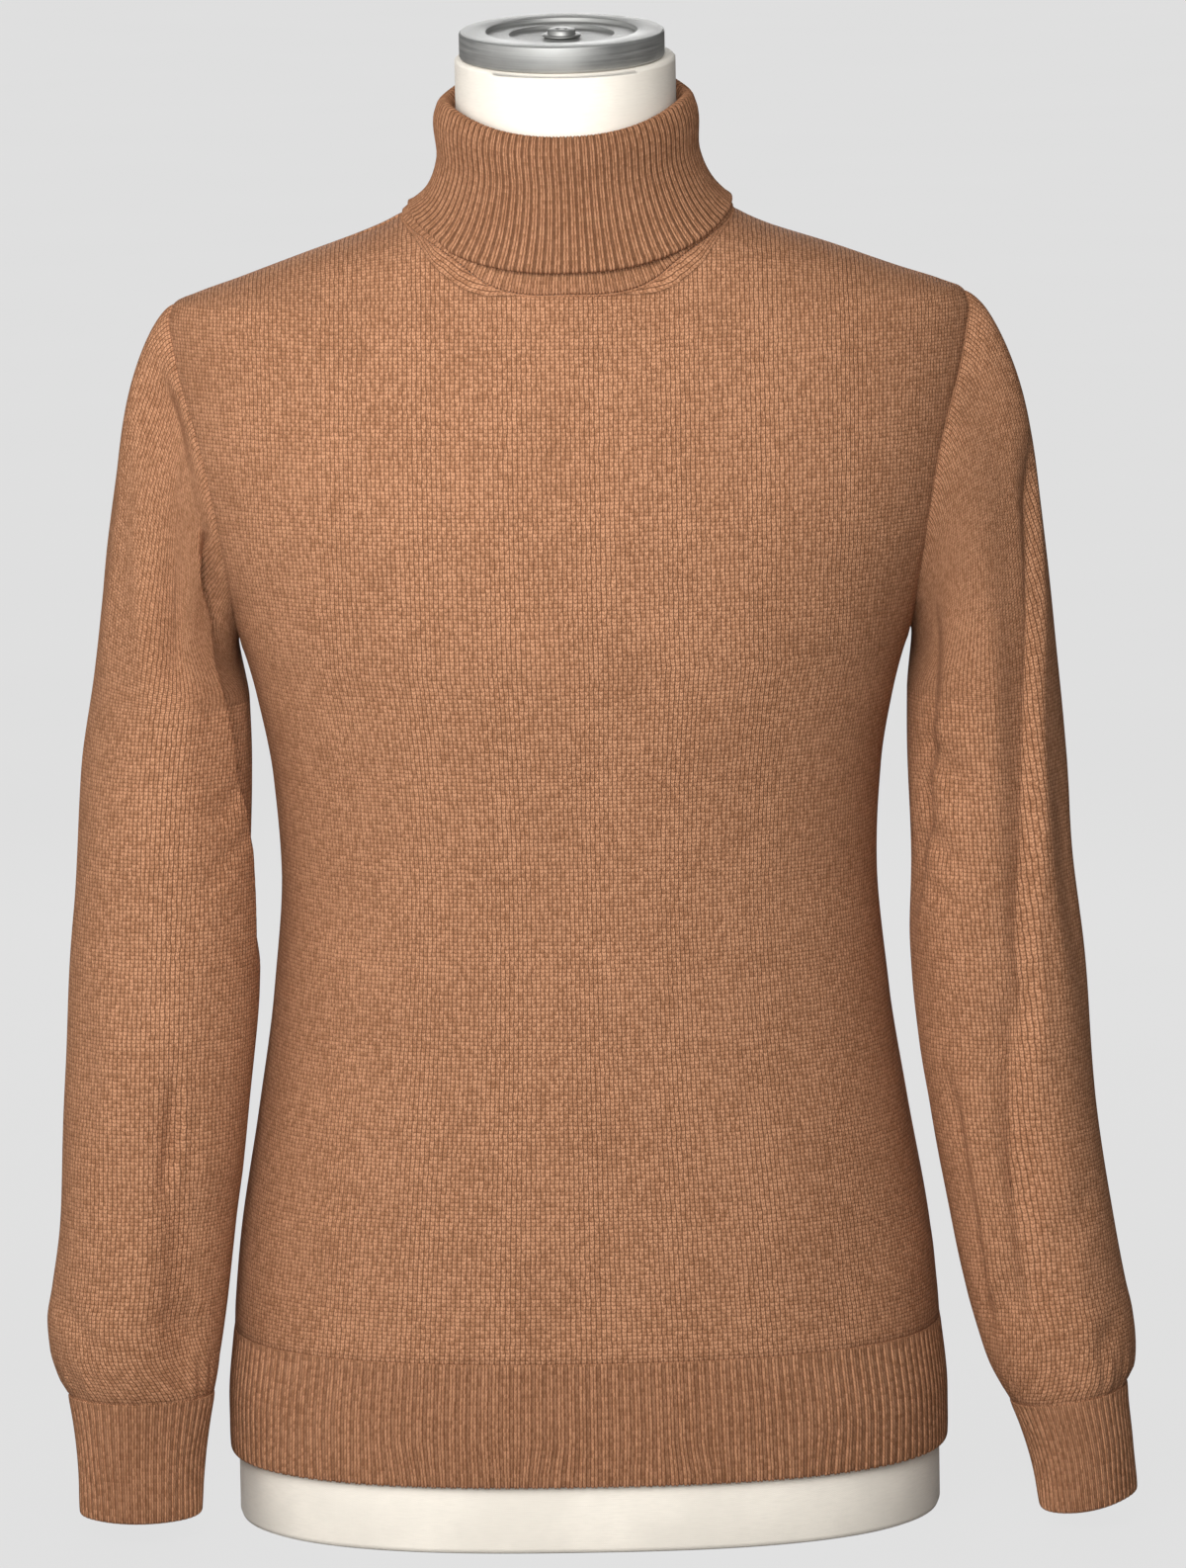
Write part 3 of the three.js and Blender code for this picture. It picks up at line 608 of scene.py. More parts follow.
def wall(name, outer, inner, maps, closed, material):
    """Thin shell between two grids of points, with its edges closed. On a closed grid the
    last column repeats the first."""
    rows, columns = outer.shape[:2]
    kept = columns - 1 if closed else columns
    vertices = np.concatenate([outer[:, :kept].reshape(-1, 3), inner[:, :kept].reshape(-1, 3)])
    i, j = np.meshgrid(np.arange(rows - 1), np.arange(columns - 1), indexing="ij")

    def quads(width, face):
        wrap = (lambda k: k % width) if width == kept else (lambda k: k)
        corner = [(i, j), (i + 1, j), (i + 1, j + 1), (i, j + 1)]
        made = np.stack([(a * width + wrap(b)).ravel() for a, b in corner], axis=1)
        return made[:, ::-1] + rows * width if face else made

    faces = [quads(kept, 0), quads(kept, 1)]
    flat = columns if closed else kept
    corners = [quads(flat, 0), quads(flat, 0)[:, ::-1]]
    for row in (0, rows - 1):
        k = np.arange(columns - 1)
        for width, into, low in ((kept, faces, rows * kept), (flat, corners, 0)):
            a, b = row * width + k, row * width + (k + 1) % width
            strip = np.stack([a, b, b + low, a + low], axis=1)
            into.append(strip if row == 0 else strip[:, ::-1])
    if not closed:
        for column in (0, columns - 1):
            k = np.arange(rows - 1)
            a, b = k * kept + column, (k + 1) * kept + column
            for into, low in ((faces, rows * kept), (corners, 0)):
                strip = np.stack([a, a + low, b + low, b], axis=1)
                into.append(strip if column == 0 else strip[:, ::-1])
    flat_maps = {key: value.reshape(-1, 2) for key, value in maps.items()}
    return make_mesh(
        name, vertices, np.concatenate(faces), flat_maps, np.concatenate(corners), material
    )


def nearest(points, curve):
    """Distance from points to a curve, and how far along the curve the nearest point is."""
    run = lengths(curve[None], 1)[0]
    flat = points.reshape(-1, 3)
    distance = np.empty(len(flat))
    place = np.empty(len(flat))
    for start in range(0, len(flat), 4096):
        part = flat[start : start + 4096]
        apart = np.linalg.norm(part[:, None] - curve[None], axis=-1)
        best = apart.argmin(axis=1)
        distance[start : start + 4096] = apart[np.arange(len(part)), best]
        place[start : start + 4096] = run[best]
    return distance.reshape(points.shape[:-1]), place.reshape(points.shape[:-1])


def panel_grid(side, pitch):
    """Grid of a panel's outer face: rows from the welt up, columns from the right to the left.
    Its lowest rows run on under the welt."""
    half = 235.0
    across = edged(2 * half, pitch) / half - 1
    start = WELT_TOP - TUCK
    low = start + edged(UNDERARM - start, pitch)[:-4]
    turns = np.linspace(0, math.pi, int(360 / pitch))[1:]
    armhole = lerp(UNDERARM, SHOULDER_TIP, (1 - np.cos(turns)) / 2)
    top = SHOULDER_TIP + edged(118, pitch)[1:] / 118
    levels = np.concatenate([low, armhole, top])
    reach = panel_reach(side, np.minimum(levels, SHOULDER_TIP))
    angle = across[None] * reach[:, None]
    if side == "back":
        angle = math.pi - angle
    grid = body_surface(angle, np.broadcast_to(levels[:, None], angle.shape))
    seam = SEAM_GAP / 2
    if side == "front":
        grid[..., 1] = np.minimum(grid[..., 1], -seam)
    else:
        grid[..., 1] = np.maximum(grid[..., 1], seam)
    return grid, levels


def stitch_map(grid, levels, knit):
    """Wales and courses of a panel: the wales hang straight from the shoulders."""
    along = lengths(grid, 1)
    middle = grid.shape[1] // 2
    along = along - along[:, middle : middle + 1]
    tip = int(np.searchsorted(levels, SHOULDER_TIP - 1e-6))
    arm = int(np.searchsorted(levels, UNDERARM - 1e-6))
    full = along[arm, -1] - along[arm, 0]
    scale = full / (along[:, -1:] - along[:, :1])
    across = np.where(np.arange(len(levels))[:, None] < arm, along * scale, along)
    up = np.repeat(lengths(grid, 0)[:, middle : middle + 1], grid.shape[1], axis=1)
    edge = grid[tip]
    for row in range(tip + 1, len(levels)):
        x = grid[row, :, 0]
        order = np.argsort(edge[:, 0])
        across[row] = np.interp(x, edge[order, 0], across[tip][order])
        y = np.interp(x, edge[order, 0], edge[order, 1])
        z = np.interp(x, edge[order, 0], edge[order, 2])
        up[row] = up[tip, middle] + np.hypot(grid[row, :, 1] - y, grid[row, :, 2] - z)
    return np.stack([across * MM / knit.wale, up * MM / knit.course], axis=-1)


def knit_panel(side, settings):
    knit = settings.knit
    grid, levels = panel_grid(side, 3.6)
    maps = {"Stitches": stitch_map(grid, levels, knit)}
    turn = np.linspace(0, TAU, 1200)
    neck, neck_run = nearest(grid, neck_seam(turn))
    half_turn = np.linspace(0.001, math.pi - 0.001, 500)
    armhole = armhole_point(half_turn if side == "front" else -half_turn)
    arm, _ = nearest(np.abs(grid) * [1, 0, 0] + grid * [0, 1, 1], armhole)
    aside = np.abs(grid[..., 0])
    band = 9 * ease((aside - 20) / 40) * ease((84 - aside) / 18)
    maps["Seam"] = np.stack(
        [(neck - band) / (knit.wale / MM), neck_run / (knit.course / MM)], axis=-1
    )

    sign = 1 if side == "front" else -1
    x, z = sign * grid[..., 0], grid[..., 2]
    relief = creases(x, z, FRONT_CREASES if side == "front" else BACK_CREASES)
    relief += waves(x, z, [(170, 420, 0.6, 0.35), (-120, 260, 2.1, 0.25), (75, -190, 4.0, 0.15)])
    relief -= 0.25 * valley(neck, 2.0) + 0.12 * valley(arm, 1.8)
    relief += 0.3 * valley(arm - 5.5, 2.5)
    side_seam = np.minimum(lengths(grid, 1), lengths(grid[:, ::-1], 1)[:, ::-1])
    below = side_seam + np.where(z > UNDERARM, 1000, 0)
    relief -= 0.5 * valley(below, 1.8)
    relief = relief * ease((z - WELT_TOP) / 14 + 0.15) - tucked(z - WELT_TOP)
    normal = normals(grid, False)
    half_wall = WALL / 2 * rounded(np.minimum(side_seam, neck), 0.3)
    middle = grid + normal * (relief - WALL / 2)[..., None]
    offset = normal * half_wall[..., None]
    name = f"knit_{side}"
    piece = wall(name, middle + offset, middle - offset, maps, False, jersey_material(knit))
    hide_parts(f"{side}_panel")
    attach(piece, "root")
    across = lengths(grid, 1)[:, -1].max() * MM
    down = lengths(grid, 0).max() * MM
    return piece


def knit_welt(side, settings):
    knit = settings.knit
    start = -math.pi / 2 if side == "front" else math.pi / 2
    fine = np.linspace(start, start + math.pi, 2001)
    run = lengths(body_point(fine, np.full(fine.shape, float(WELT_TOP)))[None], 1)[0]
    z = WELT_EDGE + edged(WELT_TOP - WELT_EDGE, 3.2, (0.25, 0.7, 1.4))
    phases, levels = np.broadcast_arrays(rib_columns(WELT_RIBS)[None], z[:, None])
    low, high = levels - WELT_EDGE, WELT_TOP - levels
    lean = 0.34 * np.sin(0.23 * phases + 1) + 0.2 * np.sin(0.71 * phases)
    lean *= ease((26 - low) / 26) * np.sin(math.pi * phases / WELT_RIBS)
    angle = np.interp((phases + lean) / WELT_RIBS * run[-1], run, fine)
    grid = body_point(angle, levels)
    seam = SEAM_GAP / 2
    if side == "front":
        grid[..., 1] = np.minimum(grid[..., 1], -seam)
    else:
        grid[..., 1] = np.maximum(grid[..., 1], seam)
    normal = normals(grid, False)
    rib = rib_height(phases, 1.0)
    grown = ease(high / 3.5) * 0.85 + 0.15
    relief = 0.85 * knit.rib_relief / MM * (rib - 1) * grown + 0.3 * valley(low - 6, 8)
    side_run = np.minimum(phases, WELT_RIBS - phases) * run[-1] / WELT_RIBS
    half_wall = RIB_WALL / 2 + 0.35 * rib * grown
    half_wall = half_wall * rounded(np.minimum(low, side_run), 1.6) * rounded(high, 0.3)
    middle = grid + normal * (relief - RIB_WALL / 2)[..., None]
    middle[..., 2] -= 0.8 * rib * valley(low, 2.5)
    offset = normal * half_wall[..., None]
    stitches = np.stack([rib_stitch(phases, 1.0), levels / (knit.course / MM)], axis=-1)
    piece = wall(
        f"rib_welt_{side}",
        middle + offset,
        middle - offset,
        {"Stitches": stitches, "Opened": np.ones_like(stitches)},
        False,
        rib_material(knit),
    )
    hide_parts(f"welt_{side}")
    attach(piece, "root")
    return piece


def sleeve_angles(low, high):
    """Angles round a sleeve, closer together where the folds between two angles run."""
    wide, close = ((3.1, 1.0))
    stops = ((-180, 0, wide), (0, low, wide), (low, high, close), (high, 180, wide))
    parts = [np.linspace(a, b, int((b - a) / step) + 2)[:-1] for a, b, step in stops]
    return np.concatenate([*parts, [180.0]])


def sleeve_map(grid, middle, knit):
    """Wales run down the sleeve from the outer line and end at the underarm seam."""
    along = lengths(grid, 1)
    along = along - along[:, middle : middle + 1]
    down = lengths(grid, 0)[:, middle : middle + 1] * np.ones_like(along)
    return np.stack([along / (knit.wale / MM), -down / (knit.course / MM)], axis=-1)


def knit_sleeve(name, sign, table, troughs, marks, long_folds, puff, cuff_top, settings):
    knit = settings.knit
    pitch = 3
    around = sleeve_angles(*(LEFT_CLOSE if sign > 0 else RIGHT_CLOSE))
    outer_line = int(np.searchsorted(around, -1e-9))
    angle = np.radians(around)
    loft = edged(185, pitch)[:-4] / 185
    drop = edged(SLEEVE_LOFT_END - cuff_top + TUCK, pitch)[4:]
    v = np.concatenate([loft, [1.0], 1 + drop])
    angle, v = np.broadcast_arrays(angle[None], v[:, None])
    grid = sleeve_surface(table, troughs, angle, v)
    stitches = sleeve_map(grid, outer_line, knit)
    down = lengths(grid, 0)
    seam = np.stack([down / (knit.wale / MM) + 9, down], axis=-1)

    degrees = np.degrees(angle)
    flat_marks = [
        (a0 * DEGREE_RUN, z0, a1 * DEGREE_RUN, z1, width, bow, depth)
        for a0, z0, a1, z1, width, bow, depth in marks
    ]
    z = grid[..., 2]
    relief = creases(degrees * DEGREE_RUN, z, flat_marks, wrap=360 * DEGREE_RUN)
    folded, shift = folds(degrees, z, long_folds)
    relief += folded
    relief += waves(degrees, z, [(120, 330, 1.1, 0.5), (-90, 150, 3.0, 0.35), (180, 95, 0.4, 0.3)])
    relief += puff * valley(z - 572, 62) * np.maximum(np.cos(angle), 0)
    from_cuff = SLEEVE_LOFT_END - (v - 1) - cuff_top
    gather = 0.5 * np.sin(np.radians(degrees) * 17 + 1.2 * np.sin(np.radians(degrees) * 5))
    gather += 0.35 * np.sin(np.radians(degrees) * 29 + 0.7)
    relief += gather * valley(from_cuff - 7, 11)
    relief += 0.55 * valley(from_cuff - 9, 8)
    underarm = (180 - np.abs(degrees)) * DEGREE_RUN
    relief -= 0.5 * valley(underarm, 1.8)
    relief *= ease((down - 0.5) / 14) * 0.9 + 0.1
    relief -= 0.12 * valley(down, 1.8)
    near_body = ease((140 - np.abs(degrees)) / 40)
    relief = np.where(relief > 0, relief * lerp(0.3, 1, near_body), relief)
    relief *= ease((from_cuff + 3) / 9)
    relief -= tucked(from_cuff, 1.1)
    shift *= ease((down - 0.5) / 14) * ease((from_cuff + 3) / 9)
    centre = (table.at("outer", 300) / 2 + table.at("inner", 300) / 2, -20)
    normal = normals(grid, True, centre)
    middle = grid + normal * (relief - WALL / 2)[..., None]
    middle = middle + unit(tangents(grid, True)[1]) * shift[..., None]
    normal = normals(middle, True, centre)
    offset = normal * (WALL / 2 * rounded(down, 0.3))[..., None]
    flip = np.array([sign, 1, 1])
    piece = wall(
        f"knit_{name}",
        (middle + offset) * flip,
        (middle - offset) * flip,
        {"Stitches": stitches, "Seam": seam},
        True,
        jersey_material(knit),
    )
    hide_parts(name)
    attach(piece, "root")
    across = lengths(grid, 1)[:, -1].max() * MM
    return piece


def knit_cuff(name, sign, table, troughs, long_folds, heights, settings):
    knit = settings.knit
    top, bottom = heights
    z = top - SEAM_GAP - edged(top - SEAM_GAP - bottom, 2.6, (0.25, 0.7, 1.4))
    phases, levels = np.broadcast_arrays(rib_columns(CUFF_RIBS)[None], z[:, None])
    angle = phases / CUFF_RIBS * TAU
    grid = sleeve_surface(table, troughs, angle, 1 + SLEEVE_LOFT_END - levels)
    centre = (table.at("outer", 40) / 2 + table.at("inner", 40) / 2, table.at("y", 40))
    normal = normals(grid, True, centre)
    rib = rib_height(phases, 1.0)
    low, high = levels - bottom, top - SEAM_GAP - levels
    grown = ease(high / 3) * 0.8 + 0.2
    relief = 0.8 * knit.rib_relief / MM * (rib - 1) * grown + 0.3 * valley(low - 5, 8)
    relief += waves(np.degrees(angle), levels, [(120, 90, 0.5, 0.4), (72, -60, 2.0, 0.2)])
    relief += 0.4 * folds(np.degrees(angle), levels, long_folds)[0]
    half_wall = (RIB_WALL / 2 + 0.3 * rib * grown) * rounded(low, 1.6) * rounded(high, 0.3)
    middle = grid + normal * (relief - RIB_WALL / 2)[..., None]
    offset = normal * half_wall[..., None]
    stitches = np.stack([rib_stitch(phases, 1.0), levels / (knit.course / MM)], axis=-1)
    flip = np.array([sign, 1, 1])
    piece = wall(
        f"rib_{name}",
        (middle + offset) * flip,
        (middle - offset) * flip,
        {"Stitches": stitches, "Opened": np.ones_like(stitches)},
        True,
        rib_material(knit),
    )
    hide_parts(name)
    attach(piece, "root")
    around = lengths(grid, 1)[:, -1].max() * MM
    return piece


def collar_controls(angle):
    """Rings of the collar's middle line, the neck seam last."""
    rings = []
    middle = 1 - np.abs(np.sin(angle)) ** 2.5
    ends = np.where(np.cos(angle) > 0, 3, 5)
    for row, lean, shift, square in zip(COLLAR, COLLAR_LEAN, COLLAR_SHIFTS, COLLAR_SQUARES):
        x, y = oval(angle, *row[:3], square)
        z = lerp(row[4], np.array(row)[ends], middle) + COLLAR_LIFT * lean * x / row[0]
        rings.append(stack(x + shift, y, z))
    edge = rings[0]
    rest = shoulder_height(edge[..., 0], edge[..., 1]) + COLLAR_REST
    edge[..., 2] = np.maximum(edge[..., 2], rest)
    seam = neck_seam(angle)
    inward = 1 - RIB_WALL / 2 / np.hypot(seam[..., 0], seam[..., 1])
    rings.append(stack(seam[..., 0] * inward, seam[..., 1] * inward, seam[..., 2] + SEAM_GAP))
    return np.array(rings)


def smooth_rows(rings, places):
    """Rows at distances along the smooth curves through a list of rings."""
    step = np.linalg.norm(np.diff(rings, axis=0), axis=-1).mean(axis=1)
    knots = np.concatenate([[0], np.cumsum(step)])
    slope = np.diff(rings, axis=0) / step[:, None, None]
    share = (step[:-1] / (step[:-1] + step[1:]))[:, None, None]
    inside = slope[:-1] * (1 - share) + slope[1:] * share
    slopes = np.concatenate([slope[:1], inside, slope[-1:]])
    places = np.asarray(places) * knots[-1]
    i = np.clip(np.searchsorted(knots, places, side="right") - 1, 0, len(knots) - 2)
    span = (knots[i + 1] - knots[i])[:, None, None]
    t = ((places - knots[i])[:, None, None]) / span
    return (
        (1 + 2 * t) * (1 - t) ** 2 * rings[i]
        + t * (1 - t) ** 2 * span * slopes[i]
        + t * t * (3 - 2 * t) * rings[i + 1]
        + t * t * (t - 1) * span * slopes[i + 1]
    )


def knit_collar(settings):
    knit = settings.knit
    across = rib_columns(COLLAR_RIBS, CLOSED_RIB)
    angle = across / COLLAR_RIBS * TAU
    rings = collar_controls(angle)
    parts = np.linalg.norm(np.diff(rings, axis=0), axis=-1).mean(axis=1)
    length, fold = float(parts.sum()), parts[:4].sum()
    down = edged(length, 3.4, (0.25, 0.7, 1.4))
    bend = np.linspace(fold - 8.5, fold + 8.5, 14)
    down = np.sort(np.concatenate([down[np.abs(down - fold) >= 9], bend]))
    grid = smooth_rows(rings, down / length)
    down_way, across_way = tangents(grid, True)
    normal = unit(np.cross(across_way, down_way))
    level, phases = np.broadcast_arrays(down[:, None], across[None])
    if (normal[: len(down) // 3, :, 1] * np.sign(grid[: len(down) // 3, :, 1])).sum() < 0:
        normal = -normal
    strip = ease((level - length + 26) / 8)
    rib = rib_height(phases, strip)
    shown = 1 - 0.55 * ease((level - fold - 6) / 10) + 0.35 * strip
    hidden = 0.35 + 0.65 * strip
    edge = np.minimum(level, length - level)
    keep = rounded(edge, 1.5)
    lip = 0.55 * valley(level - 1.5, 1.5) * (0.5 + 0.5 * rib)
    relief = knit.rib_relief / MM * rib
    front = (RIB_WALL / 2 + relief * shown + lip) * keep
    back = (RIB_WALL / 2 + relief * hidden) * keep
    wander = 0.02 * np.sin(level / 17 + phases * 0.9) + 0.012 * np.sin(level / 7 + phases)
    stitches = np.stack(
        [rib_stitch(phases, strip) + wander, -level / (knit.course / MM)], axis=-1
    )
    piece = wall(
        "rib_collar",
        grid + normal * front[..., None],
        grid - normal * back[..., None],
        {"Stitches": stitches, "Opened": np.repeat(strip[..., None], 2, axis=-1)},
        True,
        rib_material(knit),
    )
    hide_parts("collar")
    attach(piece, "root")
    around = float(lengths(grid, 1)[:, -1].max()) * MM
    return piece


def loop_tree():
    """Geometry nodes that lay a strand of yarn along a line and a sewn loop over it at every
    stitch. The line's points carry the way out from the cloth as the attribute Outward."""
    name = "Seam loops"
    if name in bpy.data.node_groups:
        return bpy.data.node_groups[name]
    tree = bpy.data.node_groups.new(name, "GeometryNodeTree")
    face = tree.interface
    face.new_socket("Geometry", in_out="INPUT", socket_type="NodeSocketGeometry")
    for label in ("Pitch", "Half Width", "Rise", "Lean", "Yarn Radius", "Strand Radius"):
        face.new_socket(label, in_out="INPUT", socket_type="NodeSocketFloat")
    face.new_socket("Yarn", in_out="INPUT", socket_type="NodeSocketMaterial")
    face.new_socket("Geometry", in_out="OUTPUT", socket_type="NodeSocketGeometry")
    n = Nodes(tree)
    given = n.add("NodeGroupInput").outputs
    line = n.add("GeometryNodeMeshToCurve")
    n.link(given["Geometry"], line.inputs["Mesh"])
    stops = n.add("GeometryNodeResampleCurve", mode="LENGTH")
    n.link(line.outputs[0], stops.inputs["Curve"])
    n.link(given["Pitch"], stops.inputs["Length"])

    def corner(x, y, z):
        point = n.add("ShaderNodeCombineXYZ")
        for socket, value in zip(point.inputs, (x, y, z)):
            if value is not None:
                n.link(value, socket)
        return point.outputs[0]

    back_lean = n.math("MULTIPLY", given["Lean"], -1.0)
    back_width = n.math("MULTIPLY", given["Half Width"], -1.0)
    arch = n.add("GeometryNodeCurveQuadraticBezier")
    arch.inputs["Resolution"].default_value = 5
    n.link(corner(back_lean, back_width, None), arch.inputs["Start"])
    n.link(corner(None, None, n.math("MULTIPLY", given["Rise"], 2.0)), arch.inputs["Middle"])
    n.link(corner(given["Lean"], given["Half Width"], None), arch.inputs["End"])

    def thicken(curve, radius, sides):
        ring = n.add("GeometryNodeCurvePrimitiveCircle")
        ring.inputs["Resolution"].default_value = sides
        n.link(radius, ring.inputs["Radius"])
        tube = n.add("GeometryNodeCurveToMesh")
        n.link(curve, tube.inputs["Curve"])
        n.link(ring.outputs[0], tube.inputs["Profile Curve"])
        tube.inputs["Fill Caps"].default_value = True
        return tube.outputs[0]

    outward = n.add("GeometryNodeInputNamedAttribute", data_type="FLOAT_VECTOR")
    outward.inputs["Name"].default_value = "Outward"
    turn = n.add("FunctionNodeAxesToRotation", primary_axis="Z", secondary_axis="X")
    n.link(outward.outputs["Attribute"], turn.inputs["Primary Axis"])
    n.link(n.add("GeometryNodeInputTangent").outputs[0], turn.inputs["Secondary Axis"])
    loops = n.add("GeometryNodeInstanceOnPoints")
    n.link(stops.outputs[0], loops.inputs["Points"])
    n.link(thicken(arch.outputs[0], given["Yarn Radius"], 6), loops.inputs["Instance"])
    n.link(turn.outputs[0], loops.inputs["Rotation"])
    both = n.add("GeometryNodeJoinGeometry")
    n.link(loops.outputs[0], both.inputs[0])
    n.link(thicken(stops.outputs[0], given["Strand Radius"], 8), both.inputs[0])
    real = n.add("GeometryNodeRealizeInstances")
    n.link(both.outputs[0], real.inputs[0])
    soft = n.add("GeometryNodeSetShadeSmooth")
    n.link(real.outputs[0], soft.inputs[0])
    dyed = n.add("GeometryNodeSetMaterial")
    n.link(soft.outputs[0], dyed.inputs["Geometry"])
    n.link(given["Yarn"], dyed.inputs["Material"])
    n.link(dyed.outputs[0], n.add("NodeGroupOutput").inputs[0])
    return tree


def sew_seam(name, points, outward, sizes, closed, knit):
    """Line of sewn loops in millimetres. sizes holds the tree's inputs by name."""
    mesh = bpy.data.meshes.new(name)
    count = len(points)
    edges = [(i, i + 1) for i in range(count - 1)] + ([(count - 1, 0)] if closed else [])
    mesh.from_pydata([tuple(p) for p in points * MM], edges, [])
    carried = mesh.attributes.new("Outward", "FLOAT_VECTOR", "POINT")
    carried.data.foreach_set("vector", unit(outward).astype(np.float32).ravel())
    piece = bpy.data.objects.new(name, mesh)
    bpy.context.scene.collection.objects.link(piece)
    loops = piece.modifiers.new("Loops", "NODES")
    loops.node_group = loop_tree()
    material = yarn_material(knit)
    for item in loops.node_group.interface.items_tree:
        if item.in_out == "INPUT" and item.name in sizes:
            loops[item.identifier] = sizes[item.name] * MM
        if item.in_out == "INPUT" and item.name == "Yarn":
            loops[item.identifier] = material
    bpy.context.view_layer.update()
    evaluated = piece.evaluated_get(bpy.context.evaluated_depsgraph_get())
    made = bpy.data.meshes.new_from_object(evaluated)
    piece.modifiers.clear()
    piece.data = made
    bpy.data.meshes.remove(mesh)
    if not made.polygons:
        raise RuntimeError(f"{name} has no loops")
    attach(piece, "root")
    return piece


NECK_LOOPS = {
    "Pitch": 2.15, "Half Width": 1.0, "Rise": 0.4, "Lean": 0.45,
    "Yarn Radius": 0.38, "Strand Radius": 0.5,
}
SEAM_LOOPS = {
    "Pitch": 2.1, "Half Width": 0.6, "Rise": 0.12, "Lean": 0.3,
    "Yarn Radius": 0.3, "Strand Radius": 0.6,
}


def sew_seams(settings):
    knit = settings.knit
    turn = np.linspace(0, TAU, 480, endpoint=False)
    ring = neck_seam(turn)
    outward = unit(ring * [1, 1, 0]) + [0, 0, 0.55]
    sew_seam("seam_neck", ring - unit(outward) * 0.5, outward, NECK_LOOPS, True, knit)

    ring = armhole_point(turn)
    outward = unit(ring - stack(0.55 * ring[:, 0], 0, lerp(ring[:, 2], 545, 0.6)))
    ring = ring + [SEAM_GAP / 2, 0, 0] - outward * 0.6
    z = np.arange(WELT_EDGE + 2.5, UNDERARM - 1, 2.0)
    side = body_point(np.full(len(z), math.pi / 2), z) - [0.8, 0, 0]
    for sign, hand in ((1, "left"), (-1, "right")):
        flip = np.array([sign, 1, 1])
        around = outward * flip
        sew_seam(f"seam_armhole_{hand}", ring * flip, around, SEAM_LOOPS, True, knit)
        out = np.tile([float(sign), 0, 0], (len(z), 1))
        sew_seam(f"seam_side_{hand}", side * flip, out, SEAM_LOOPS, False, knit)


def rings_mesh(name, rings, material):
    """Closed solid of level rings with a point in the middle of each end."""
    rows, columns = rings.shape[:2]
    vertices = rings.reshape(-1, 3)
    i, j = np.meshgrid(np.arange(rows - 1), np.arange(columns), indexing="ij")
    near = (j + 1) % columns
    corner = [(i, j), (i + 1, j), (i + 1, near), (i, near)]
    faces = np.stack([(a * columns + b).ravel() for a, b in corner], axis=1)
    ends = []
    for row in (0, rows - 1):
        middle = rings[row].mean(axis=0)
        for share in (0.5, 0.02):
            ends.append((row, middle + (rings[row] - middle) * share))
    base = len(vertices)
    vertices = np.concatenate([vertices] + [ring for _, ring in ends])
    k = np.arange(columns)
    far = (k + 1) % columns
    for at, (row, _) in enumerate(ends):
        inner = base + at * columns
        outer = row * columns if at % 2 == 0 else inner - columns
        strip = np.stack([outer + k, outer + far, inner + far, inner + k], axis=1)
        faces = np.concatenate([faces, strip if row == 0 else strip[:, ::-1]])
    piece = make_mesh(name, vertices, faces, {}, faces, material)
    close_holes(piece)
    return piece


def close_holes(piece):
    work = bmesh.new()
    work.from_mesh(piece.data)
    open_edges = [edge for edge in work.edges if edge.is_boundary]
    if open_edges:
        bmesh.ops.holes_fill(work, edges=open_edges, sides=0)
    bmesh.ops.recalc_face_normals(work, faces=work.faces)
    work.to_mesh(piece.data)
    work.free()


def build_form(settings):
    angle = np.arange(128) / 128 * TAU
    heights = np.linspace(WELT_EDGE, SHOULDER_TIP, 70)[1:]
    levels = np.concatenate([[WELT_EDGE], heights, SHOULDER_TIP + np.linspace(0, 1, 12)[1:]])
    closed = np.append(angle, TAU)
    at, v = np.broadcast_arrays(closed[None], levels[:, None])
    grid = body_surface(at, v)
    normal = normals(grid, True)
    level = levels < SHOULDER_TIP
    normal[level, :, 2] = 0
    under = (grid - unit(normal) * FORM_DEPTH)[:, :-1]
    foot = []
    middle = under[0].mean(axis=0)
    for z, inset in ((0, 3.2), (0.9, 0.9), (3.2, 0)):
        ring = under[0].copy()
        away = unit((ring - middle) * [1, 1, 0])
        ring -= away * inset
        ring[:, 2] = z
        foot.append(ring)
    stand = []
    controls = collar_controls(angle)
    for row in (len(COLLAR) - 1, len(COLLAR) - 2):
        ring = controls[row].copy()
        inward = 1 - STAND_AIR / np.hypot(ring[:, 0], ring[:, 1])
        ring[:, :2] *= inward[:, None]
        ring[:, 2] -= STAND_AIR / 2
        stand.append(ring)
    for z, half_width, front, back in FORM_NECK:
        x, y = oval(angle, half_width, front, back)
        stand.append(stack(x, y, z))
    x, y = oval(angle, *NECK_TOP)
    top = CAP_PLACE[2] - SEAM_GAP + (y - CAP_PLACE[1]) * math.tan(CAP_TILT)
    stand.append(stack(x, y, top))
    neck = smooth_rows(np.array([under[-1], *stand]), np.linspace(0, 1, 40))[1:]
    edge = neck[-1].copy()
    middle = edge.mean(axis=0)
    edge[:, :2] -= unit((edge - middle) * [1, 1, 0])[:, :2] * 1.5
    neck[-1, :, 2] -= 1.5
    rings = np.concatenate([foot, under, neck, [edge]])
    piece = rings_mesh("form_canvas", rings, canvas_material(settings.form))
    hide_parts("form_body")
    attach(piece, "root")
    return piece


